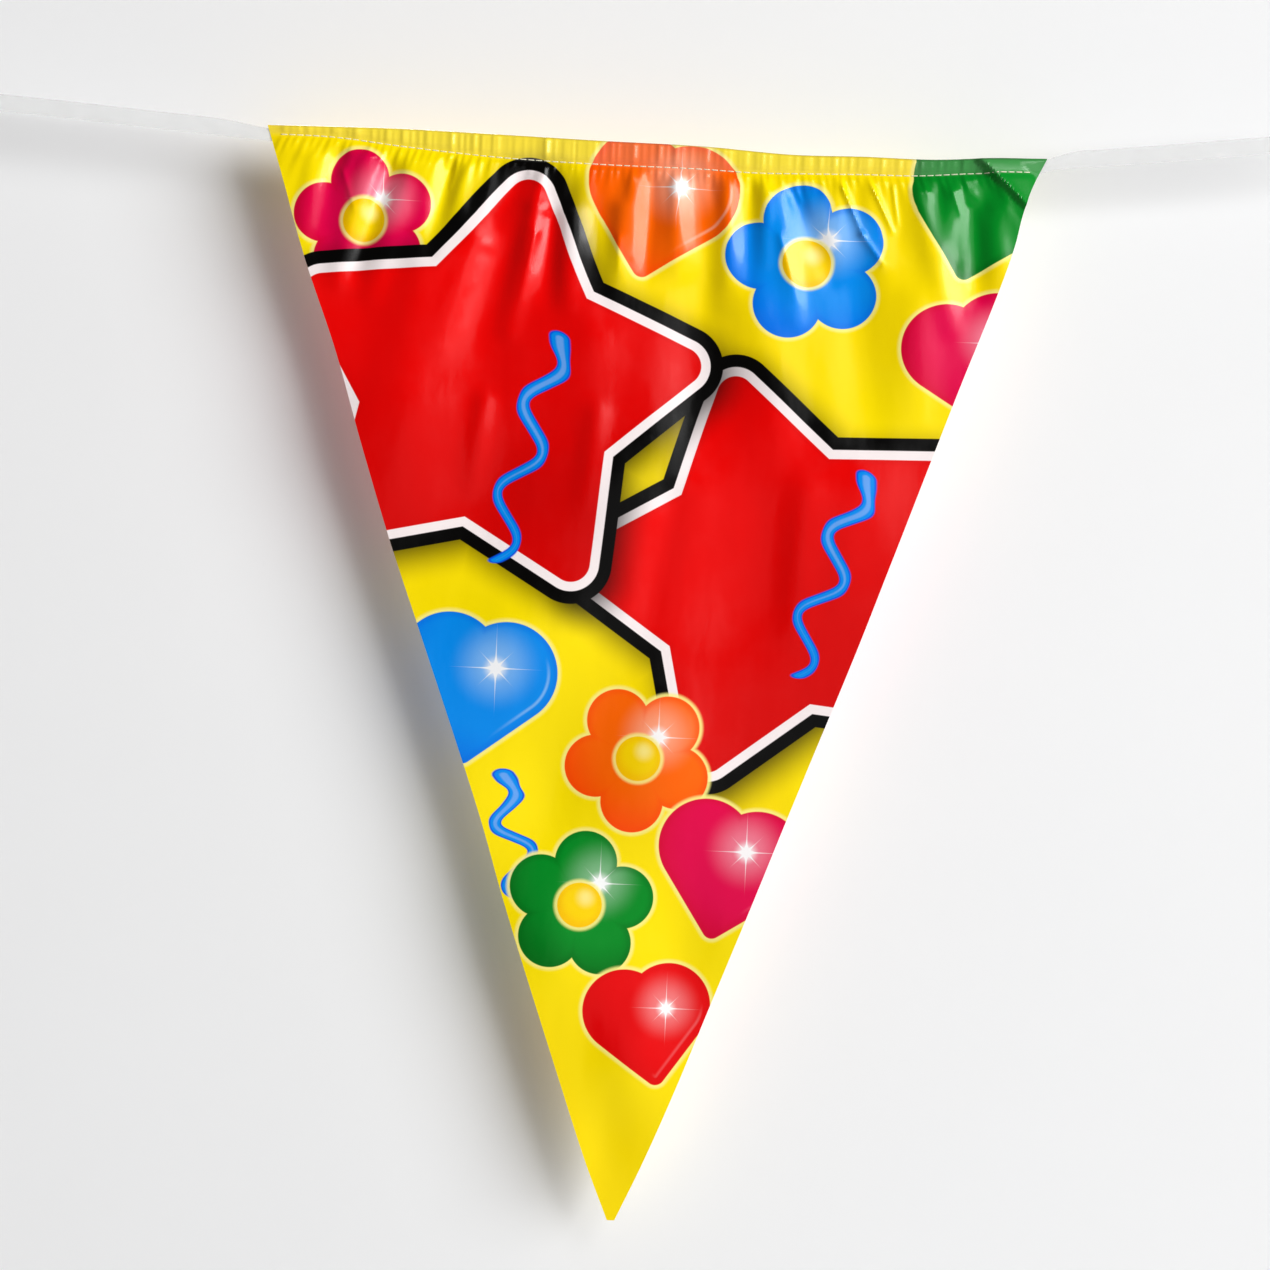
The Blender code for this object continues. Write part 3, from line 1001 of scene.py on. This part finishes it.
def star_group():
    """Distance from the edge of a fat star with five round points."""
    group, sums, inputs, output = form_group("Star")
    fatness, rounding = 0.56, 0.09
    here, _ = five_fold(sums, inputs)
    tip = Vector((1.0 - rounding, 0.0, 0.0))
    notch = (fatness - rounding * 0.4) * Vector((math.cos(math.pi / 5), math.sin(math.pi / 5), 0.0))
    edge = notch - tip
    way = edge.normalized()
    normal = Vector((way.y, -way.x, 0.0))
    from_tip = sums.vector("SUBTRACT", here, tip)
    run = sums.math("MAXIMUM", sums.measure("DOT_PRODUCT", from_tip, way), 0.0)
    nearest = sums.vector("MULTIPLY", way, run)
    away = sums.measure("DISTANCE", from_tip, nearest)
    side = sums.math("SIGN", sums.measure("DOT_PRODUCT", from_tip, normal))
    distance = sums.math("SUBTRACT", sums.math("MULTIPLY", away, side), rounding)
    sums.feed(output, sums.math("MULTIPLY", distance, inputs["Size"]))
    return group


def flower_group():
    """Distance from the edge of a flower with five round petals."""
    group, sums, inputs, output = form_group("Flower")
    petal_middle, petal_radius, core_radius, blending = (0.58, 0.0, 0.0), 0.42, 0.5, 0.06
    here, radius = five_fold(sums, inputs)
    petal = sums.math("SUBTRACT", sums.measure("DISTANCE", here, petal_middle), petal_radius)
    core = sums.math("SUBTRACT", radius, core_radius)
    distance = sums.math("SMOOTH_MIN", petal, core, blending)
    sums.feed(output, sums.math("MULTIPLY", distance, inputs["Size"]))
    return group


def disc_group():
    """Distance from the edge of a round spot."""
    group, sums, inputs, output = form_group("Disc")
    sums.feed(output, sums.math("SUBTRACT", sums.measure("LENGTH", inputs["Place"]), inputs["Size"]))
    return group


def streamer_group():
    """Distance from the edge of a waving streamer that runs along X from 0 to its length."""
    group, sums, inputs, output = new_group(
        "Streamer", "Distance", NUMBER, Place=PLACE, Length=NUMBER, Wave=NUMBER
    )
    half_width, swing = 1.45, 4.4
    along, aside = sums.parts(inputs["Place"])
    phase = sums.math("MULTIPLY", sums.math("DIVIDE", along, inputs["Wave"]), 2 * math.pi)
    growing = sums.step(along, 0.0, 12.0, 0.3, 1.0)
    wave = sums.math("MULTIPLY", sums.math("MULTIPLY", sums.math("SINE", phase), swing), growing)
    steep = sums.math("ABSOLUTE", sums.math("COSINE", phase))
    narrow = sums.step(steep, 0.0, 1.0, 1.0, 0.62)
    away = sums.math("MULTIPLY", sums.math("ABSOLUTE", sums.math("SUBTRACT", aside, wave)), narrow)
    taper = sums.step(along, 0.0, inputs["Length"], half_width, 0.5 * half_width)
    before = sums.math("SUBTRACT", 0.0, along)
    beyond = sums.math("SUBTRACT", along, inputs["Length"])
    past = sums.math("MAXIMUM", sums.math("MAXIMUM", before, beyond), 0.0)
    from_middle = sums.measure("LENGTH", sums.join(past, away))
    sums.feed(output, sums.math("SUBTRACT", from_middle, taper))
    return group


def sparkle_group():
    """Strength of a small printed sparkle with four long and four short rays."""
    group, sums, inputs, output = new_group("Sparkle", "Strength", NUMBER, Place=PLACE, Size=NUMBER)
    scaled = sums.vector("DIVIDE", inputs["Place"], inputs["Size"])
    radius = sums.measure("LENGTH", scaled)
    total = sums.step(radius, 0.0, 0.3, 1.1, 0.0)
    for turn, reach, thin in ((0.0, 1.0, 0.006), (math.pi / 4, 0.55, 0.004)):
        across, up = sums.parts(sums.turn(scaled, turn))
        product = sums.math("ABSOLUTE", sums.math("MULTIPLY", across, up))
        rays = sums.step(product, 0.0, thin, 1.0, 0.0)
        rays = sums.math("MULTIPLY", rays, sums.step(radius, 0.0, reach, 1.0, 0.0))
        total = sums.math("ADD", total, rays)
    sums.feed(output, sums.math("MINIMUM", total, 1.0))
    return group


def glossy_group(sparkle):
    """Lays one glossy printed motif, with its pale halo, over what is below it."""
    group, sums, inputs, output = new_group(
        "Glossy motif",
        "Colour",
        COLOUR,
        **dict.fromkeys(("Below", "Colour", "Halo"), COLOUR),
        Place=PLACE,
        **dict.fromkeys(("Distance", "Size", "Light_turn", "Shine", "Spark", "Rim"), NUMBER),
    )
    # The light comes from the upper right of the print whatever way the motif is turned
    turned = sums.turn(inputs["Place"], inputs["Light turn"])
    scaled = sums.vector("DIVIDE", turned, inputs["Size"])
    distance = inputs["Distance"]
    colour = inputs["Colour"]
    lighter = sums.blend(0.42, colour, WHITE, "SOFT_LIGHT")
    lighter = sums.blend(0.3, lighter, WHITE)
    deeper = sums.blend(0.62, colour, colour, "MULTIPLY")
    from_light = sums.measure("DISTANCE", scaled, (0.26, 0.34, 0.0))
    glow = sums.math("MULTIPLY", sums.step(from_light, 0.05, 0.6, 0.85, 0.0), inputs["Shine"])
    body = sums.blend(glow, colour, lighter)
    body = sums.blend(sums.step(from_light, 0.75, 1.45, 0.0, 0.8), body, deeper)
    body = sums.blend(sums.step(distance, -2.2, 0.0, 0.0, 0.45), body, deeper)
    # A thin bright line follows the edge on the lower right
    along_edge = sums.math("ABSOLUTE", sums.math("ADD", distance, 2.4))
    crescent = sums.inside(along_edge, 0.35, 0.35)
    lower_right = sums.measure("DOT_PRODUCT", scaled, (0.83, -0.55, 0.0))
    crescent = sums.math("MULTIPLY", crescent, sums.step(lower_right, 0.45, 0.7, 0.0, 0.75))
    body = sums.blend(sums.math("MULTIPLY", crescent, inputs["Rim"]), body, lighter)
    spark_place = sums.vector("SUBTRACT", scaled, (0.26, 0.3, 0.0))
    spark = sums.use(sparkle, Place=spark_place, Size=0.62)
    body = sums.blend(sums.math("MULTIPLY", spark, inputs["Spark"]), body, WHITE)
    halo_cover = sums.math("MULTIPLY", sums.inside(distance, 0.9, 0.55), 0.85)
    haloed = sums.blend(halo_cover, inputs["Below"], inputs["Halo"])
    sums.feed(output, sums.blend(sums.inside(distance), haloed, body))
    return group


def bold_group(star):
    """Lays one large star, with its lines and its shadow, over what is below it."""
    group, sums, inputs, output = new_group(
        "Bold star",
        "Colour",
        COLOUR,
        **dict.fromkeys(("Below", "Colour", "Deep_colour", "Line", "Outline"), COLOUR),
        **dict.fromkeys(("Place", "Shadow_place"), PLACE),
        Size=NUMBER,
    )
    line_width, outline_width, blur = 2.5, 3.4, 7.5
    distance = sums.use(star, Place=inputs["Place"], Size=inputs["Size"])
    shadow = sums.use(star, Place=inputs["Shadow place"], Size=inputs["Size"])
    reach = line_width + outline_width
    shade = sums.step(shadow, reach - blur, reach + blur, 0.95, 0.0)
    colour = sums.blend(shade, inputs["Below"], inputs["Outline"])
    colour = sums.blend(sums.inside(distance, reach), colour, inputs["Outline"])
    colour = sums.blend(sums.inside(distance, line_width), colour, inputs["Line"])
    across, up = sums.parts(sums.vector("DIVIDE", inputs["Place"], inputs["Size"]))
    fall = sums.step(sums.math("SUBTRACT", up, sums.math("MULTIPLY", across, 0.4)), -0.9, 0.7, 0.9, 0.0)
    face = sums.blend(fall, inputs["Colour"], inputs["Deep colour"])
    face = sums.blend(sums.step(distance, -1.8, 0.0, 0.0, 0.35), face, inputs["Deep colour"])
    sums.feed(output, sums.blend(sums.inside(distance), colour, face))
    return group


def streamer_layer_group(streamer):
    """Lays one glossy blue streamer over what is below it."""
    group, sums, inputs, output = new_group(
        "Glossy streamer",
        "Colour",
        COLOUR,
        Below=COLOUR,
        Place=PLACE,
        Length=NUMBER,
        Wave=NUMBER,
        Colour=COLOUR,
    )
    distance = sums.use(
        streamer, Place=inputs["Place"], Length=inputs["Length"], Wave=inputs["Wave"]
    )
    colour = inputs["Colour"]
    deeper = sums.blend(0.9, colour, colour, "MULTIPLY")
    lighter = sums.blend(0.16, colour, WHITE)
    edged = sums.blend(sums.inside(distance, 0.4, 0.2), inputs["Below"], deeper)
    body = sums.blend(sums.inside(distance, -0.8, 0.25), colour, lighter)
    sums.feed(output, sums.blend(sums.inside(distance, 0.0, 0.2), edged, body))
    return group


# The large stars, from the back to the front: middle, size and turn in degrees
Star = namedtuple("Star", "across down size turn")
STARS = (Star(38.0, 116.0, 56.0, 16.0), Star(-42.0, 68.0, 57.0, -9.0))
SHADOW_SHIFT = (2.0, -2.6)

# The smaller motifs. Those of the first table lie behind the stars.
Motif = namedtuple("Motif", "form colour across down size turn shine", defaults=(1.0,))
MOTIFS_BEHIND = (
    Motif("Heart", "orange", 1.0, 18.0, 21.0, -12.0),
    Motif("Flower", "pink", -78.0, 25.0, 19.0, 8.0),
)
MOTIFS_FRONT = (
    Motif("Heart", "pink", 88.0, 56.0, 19.0, 14.0),
    Motif("Flower", "blue", 42.0, 30.0, 22.0, 12.0),
    Motif("Heart", "green", 88.0, 14.0, 22.0, -14.0, 0.0),
    Motif("Heart", "blue", -43.0, 150.0, 22.0, -8.0),
    Motif("Flower", "orange", 2.0, 166.0, 20.0, 30.0),
    Motif("Heart", "pink", 27.0, 196.0, 20.0, -12.0),
    Motif("Flower", "green", -12.0, 206.0, 20.0, -6.0),
    Motif("Heart", "crimson", 8.0, 238.0, 17.0, 10.0),
)
MIDDLE_SHARE = 0.3

# The waving streamers: start, way down in degrees from straight down, length and wave
Streamer = namedtuple("Streamer", "across down turn length wave")
STREAMERS = (
    Streamer(-24.0, 54.0, -14.0, 62.0, 25.0),
    Streamer(60.0, 88.0, -18.0, 56.0, 23.0),
    Streamer(-34.0, 172.0, 12.0, 40.0, 17.0),
)


def placed(sums, print_place, across, down, turn):
    """Places on the print measured from a motif's own middle, along its own turned axes."""
    return sums.add(
        "ShaderNodeMapping",
        {
            "Vector": print_place,
            "Location": (across, -down, 0.0),
            "Rotation": (0.0, 0.0, math.radians(turn)),
        },
        vector_type="TEXTURE",
    ).outputs[0]


def print_group(colours):
    """The whole print of the film, drawn in millimetres on its flat map."""
    group, sums, _, output = new_group("Party print", "Colour", COLOUR)
    flat = sums.add("ShaderNodeUVMap", uv_map="Flat").outputs[0]
    print_place = sums.add(
        "ShaderNodeMapping",
        {
            "Vector": flat,
            "Location": (-0.5 * MAP_WIDTH, MAP_ABOVE - MAP_HEIGHT, 0.0),
            "Scale": (MAP_WIDTH, MAP_HEIGHT, 1.0),
        },
    ).outputs[0]
    sparkle, star, streamer = sparkle_group(), star_group(), streamer_group()
    forms = {"Heart": heart_group(), "Flower": flower_group(), "Disc": disc_group()}
    glossy, bold, ribbon = glossy_group(sparkle), bold_group(star), streamer_layer_group(streamer)

    deeper = sums.step(sums.cloud(print_place, 0.012, 1.0), 0.35, 0.65, 0.0, 0.35)
    ground = sums.blend(deeper, colours.ground, colours.ground_low)

    def lay_motif(below, motif):
        """Adds one smaller motif, and the round middle of a flower."""
        laid = lay_form(below, motif)
        if motif.form != "Flower":
            return laid
        middle = motif._replace(form="Disc", colour="ground_low", size=MIDDLE_SHARE * motif.size)
        return lay_form(laid, middle)

    def lay_form(below, motif):
        """Adds one glossy form."""
        local = placed(sums, print_place, motif.across, motif.down, motif.turn)
        distance = sums.use(forms[motif.form], Place=local, Size=motif.size)
        return sums.use(
            glossy,
            Below=below,
            Place=local,
            Distance=distance,
            Size=motif.size,
            Colour=getattr(colours, motif.colour),
            Halo=colours.halo,
            Light_turn=math.radians(motif.turn),
            Shine=motif.shine,
            Spark=0.0 if motif.form == "Disc" else 0.95 * motif.shine,
            Rim=motif.shine if motif.form == "Heart" else 0.0,
        )

    def lay_star(below, star_row):
        """Adds one large star."""
        shift_across, shift_up = SHADOW_SHIFT
        return sums.use(
            bold,
            Below=below,
            Place=placed(sums, print_place, star_row.across, star_row.down, star_row.turn),
            Shadow_place=placed(
                sums,
                print_place,
                star_row.across + shift_across,
                star_row.down - shift_up,
                star_row.turn,
            ),
            Size=star_row.size,
            Colour=colours.red,
            Deep_colour=colours.red_low,
            Line=colours.line,
            Outline=colours.outline,
        )

    def lay_streamer(below, row):
        """Adds one streamer."""
        return sums.use(
            ribbon,
            Below=below,
            Place=placed(sums, print_place, row.across, row.down, row.turn - 90.0),
            Length=row.length,
            Wave=row.wave,
            Colour=colours.blue,
        )

    colour = ground
    for motif in MOTIFS_BEHIND:
        colour = lay_motif(colour, motif)
    for star_row in STARS:
        colour = lay_star(colour, star_row)
    for row in STREAMERS:
        colour = lay_streamer(colour, row)
    for motif in MOTIFS_FRONT:
        colour = lay_motif(colour, motif)
    sums.feed(output, colour)
    return group


def new_material(name):
    """A material, its sums, its shader and the places on the piece that wears it."""
    material = bpy.data.materials.new(name)
    material.use_nodes = True
    sums = Sums(material.node_tree)
    place_here = sums.add("ShaderNodeTexCoord").outputs["Object"]
    return material, sums, material.node_tree.nodes["Principled BSDF"], place_here


def film_material(name, print_tree, settings, paler):
    """Thin glossy film over its print, paler on the back where the print shows through."""
    material, sums, shader, place_here = new_material(name)
    colour = sums.use(print_tree)
    if paler:
        colour = sums.blend(paler, colour, BACK_WHITE)
    # Where the film lies double it is drawn a little duller and milkier: partly the white tape showing
    # through, partly painted shade and painted sheen
    doubled = sums.add("ShaderNodeAttribute", attribute_name="Doubled").outputs["Fac"]
    colour = sums.blend(doubled, colour, sums.blend(HEM_TAPE_AND_SHADE_SHARE, colour, HEM_TAPE_AND_SHADE_WHITE))
    haze = sums.cloud(place_here, 90.0, 4.0, 0.6)
    gloss = settings.gloss
    # Long slack waves and a fine grain, both too shallow to be in the mesh
    slack = sums.cloud(sums.stretch(place_here, (1.0, 1.0, 0.35)), 160.0, 2.0)
    grain = sums.cloud(place_here, 1400.0, 2.0)
    sums.fill(shader, {
        "Base Color": colour,
        "Roughness": sums.step(haze, 0.3, 0.7, gloss - 0.05, gloss + 0.07),
        "IOR": 1.5,
        "Specular IOR Level": 0.34,
        "Normal": sums.bump(grain, 0.5, 0.000012, Normal=sums.bump(slack, 1.0, 0.00012)),
    })
    return material


def tape_material(settings):
    """Thin white film tape, slightly satin, creased along its length."""
    material, sums, shader, place_here = new_material("tape_white")
    cloudy = sums.cloud(place_here, 60.0, 3.0)
    creases = sums.cloud(sums.stretch(place_here, (0.12, 1.0, 1.0)), 900.0, 3.0)
    sums.fill(shader, {
        "Base Color": sums.tint(cloudy, settings.colour, 0.95),
        "Specular IOR Level": 0.25,
        "Alpha": settings.cover,
        "Roughness": sums.step(cloudy, 0.3, 0.7, 0.34, 0.46),
        "Normal": sums.bump(creases, 0.3, 0.00006),
    })
    return material


def thread_material(settings):
    """White sewing thread with its twist, and painted shade in the hollows between the twists."""
    material, sums, shader, place_here = new_material("thread_white")
    slanted = sums.add(
        "ShaderNodeMapping", {"Vector": place_here, "Rotation": (0.0, math.radians(38), 0.0)}
    ).outputs[0]
    twist = sums.add(
        "ShaderNodeTexWave", {"Vector": slanted, "Scale": 900.0, "Distortion": 1.5, "Detail": 1.0}
    ).outputs["Fac"]
    # The hollows of the twist are painted darker: painted shade
    twist_shade = sums.math("SUBTRACT", 1.0, twist)
    sums.fill(shader, {
        "Base Color": sums.tint(twist_shade, settings.colour, 0.78),
        "Roughness": 0.6,
        "Normal": sums.bump(twist, 0.6, 0.00005),
    })
    return material


def paint_material(name, colour, one_sided):
    """Plain matt paint for the backdrop and the floor. The backdrop is seen from its front only."""
    material, sums, shader, place_here = new_material(name)
    mottle = sums.cloud(place_here, 9.0, 5.0, 0.6)
    sums.fill(shader, {
        "Base Color": sums.tint(mottle, colour, 0.97),
        "Roughness": 0.85,
        "Specular IOR Level": 0.2,
    })
    if one_sided:
        behind = sums.add("ShaderNodeNewGeometry").outputs["Backfacing"]
        clear = sums.add("ShaderNodeBsdfTransparent").outputs[0]
        mix = sums.add("ShaderNodeMixShader", {0: behind, 1: shader.outputs[0], 2: clear})
        output = material.node_tree.nodes["Material Output"]
        sums.feed(output.inputs["Surface"], mix.outputs[0])
    return material


# Stage


def add_light(row, key_power):
    """A soft light that looks at the pennant's middle."""
    data = bpy.data.lights.new(row.name, "AREA")
    data.shape = "ELLIPSE"
    data.size, data.size_y = row.width, row.height
    data.energy = row.share * key_power
    light = new_object(row.name, data)
    light.location = row.location
    way = Vector(LIT_PLACE) - Vector(row.location)
    light.rotation_euler = way.to_track_quat("-Z", "Y").to_euler()


def light_room(strength):
    """A slightly warm, even light all round."""
    world = bpy.data.worlds.new("Room")
    world.use_nodes = True
    background = world.node_tree.nodes["Background"]
    background.inputs["Color"].default_value = ROOM_COLOUR
    background.inputs["Strength"].default_value = strength
    bpy.context.scene.world = world


def add_camera(lens, distance):
    """The camera, level and square to the wall."""
    data = bpy.data.cameras.new("photo_camera")
    data.lens = lens
    data.sensor_width = 36.0
    data.clip_start = 0.01
    camera = new_object("photo_camera", data)
    camera.location = (CAMERA_ACROSS, -distance, CAMERA_UP)
    camera.rotation_euler = (math.pi / 2, 0.0, 0.0)
    bpy.context.scene.camera = camera


def add_plane(name, size, location, rotation, material):
    """A large plane of the stage."""
    deselect_all()
    bpy.ops.mesh.primitive_plane_add(size=size, location=location, rotation=rotation)
    plane = bpy.context.object
    plane.name = name
    bpy.ops.object.transform_apply(location=True, rotation=True, scale=True)
    plane.data.materials.append(material)
    return plane


# Area lights that look at the pennant's middle. The power is a share of the key light's setting.
Light = namedtuple("Light", "name location width height share")
LIGHTS = (
    Light("key_light", (3.8, -3.22, 0.72), 3.8, 3.0, 1.0),
    Light("upper_light", (0.90, -1.94, 0.96), 0.72, 0.72, 0.023),
    Light("side_light", (0.85, -1.73, 0.16), 0.93, 0.93, 0.01),
    Light("sheen_light", (0.1, -1.1, -0.3), 0.62, 0.62, 0.001),
    Light("back_light", (-0.7, 1.5, 0.6), 1.4, 1.4, 0.13),
)
LIT_PLACE = (0.0, 0.0, -0.13)
ROOM_COLOUR = (1.0, 0.88, 0.8, 1.0)
CAMERA_ACROSS, CAMERA_UP = -0.00606, -0.1327
BACKDROP_SIZE, FLOOR_SIZE = 4.0, 6.0


class PENNANT_OT_add_film(Operator):
    """Add the printed film with its hem, gathers and folds"""

    bl_idname = "pennant.add_film"
    bl_label = "Printed film"

    def execute(self, context):
        settings = context.scene.pennant_film
        print_tree = print_group(context.scene.pennant_print)
        film = sheet_object(
            "printed_film",
            film_rows(),
            settings.thickness,
            (
                film_material("film_front", print_tree, settings, 0.0),
                film_material("film_back", print_tree, settings, settings.paler_back),
            ),
        )
        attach(film, "root")
        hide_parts("pennant")
        return {"FINISHED"}


class PENNANT_OT_add_tape(Operator):
    """Add the folded carrying tape"""

    bl_idname = "pennant.add_tape"
    bl_label = "Carrying tape"

    def execute(self, context):
        settings = context.scene.pennant_tape
        tape = sheet_object(
            "carrying_tape", tape_rows(), settings.layer, (tape_material(settings),)
        )
        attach(tape, "root")
        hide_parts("tape")
        return {"FINISHED"}


class PENNANT_OT_add_stitches(Operator):
    """Add the row of stitches through the hem"""

    bl_idname = "pennant.add_stitches"
    bl_label = "Stitches"

    def execute(self, context):
        settings = context.scene.pennant_stitches
        sewing = sew(settings, thread_material(settings))
        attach(sewing, "root")
        return {"FINISHED"}


class PENNANT_OT_add_stage(Operator):
    """Add the backdrop, floor, lights and camera"""

    bl_idname = "pennant.add_stage"
    bl_label = "Stage"

    def execute(self, context):
        settings = context.scene.pennant_stage
        backdrop = add_plane(
            "backdrop",
            BACKDROP_SIZE,
            (0.0, settings.backdrop, BACKDROP_SIZE / 2 - settings.floor),
            (math.pi / 2, 0.0, 0.0),
            paint_material("wall_paint", settings.wall_colour, one_sided=True),
        )
        for ray in ("diffuse", "glossy", "transmission", "shadow"):
            setattr(backdrop, "visible_" + ray, False)
        add_plane(
            "floor",
            FLOOR_SIZE,
            (0.0, 0.0, -settings.floor),
            (0.0, 0.0, 0.0),
            paint_material("floor_paint", settings.floor_colour, one_sided=False),
        )
        for row in LIGHTS:
            add_light(row, settings.key)
        light_room(settings.room)
        add_camera(settings.lens, settings.distance)
        context.scene.view_settings.view_transform = "Standard"
        context.scene.view_settings.gamma = 0.9
        return {"FINISHED"}


class PENNANT_PT_sidebar(Panel):
    """Sizes, colours and pieces of the pennant"""

    bl_label = "Birthday Pennant Banner"
    bl_space_type = "VIEW_3D"
    bl_region_type = "UI"
    bl_category = "Pennant"

    def draw(self, context):
        for group in ("film", "print", "tape", "stitches", "stage"):
            settings = getattr(context.scene, "pennant_" + group)
            box = self.layout.box()
            for name in settings.__annotations__:
                box.prop(settings, name)
        for operator in OPERATORS:
            self.layout.operator(operator.bl_idname)


SETTINGS = {
    "pennant_film": PennantFilmSettings,
    "pennant_print": PennantPrintSettings,
    "pennant_tape": PennantTapeSettings,
    "pennant_stitches": PennantStitchSettings,
    "pennant_stage": PennantStageSettings,
}
OPERATORS = (
    PENNANT_OT_add_tape,
    PENNANT_OT_add_film,
    PENNANT_OT_add_stitches,
    PENNANT_OT_add_stage,
)
CLASSES = (*SETTINGS.values(), *OPERATORS, PENNANT_PT_sidebar)


def register():
    """Adds the classes and the scene's settings."""
    for entry in CLASSES:
        bpy.utils.register_class(entry)
    for name, group in SETTINGS.items():
        setattr(bpy.types.Scene, name, PointerProperty(type=group))


def unregister():
    """Takes the settings and the classes away again."""
    for name in SETTINGS:
        delattr(bpy.types.Scene, name)
    for entry in reversed(CLASSES):
        bpy.utils.unregister_class(entry)


def main():
    """Builds every piece in order."""
    register()
    bpy.ops.pennant.add_tape()
    bpy.ops.pennant.add_film()
    bpy.ops.pennant.add_stitches()
    bpy.ops.pennant.add_stage()


if __name__ == "__main__":
    main()
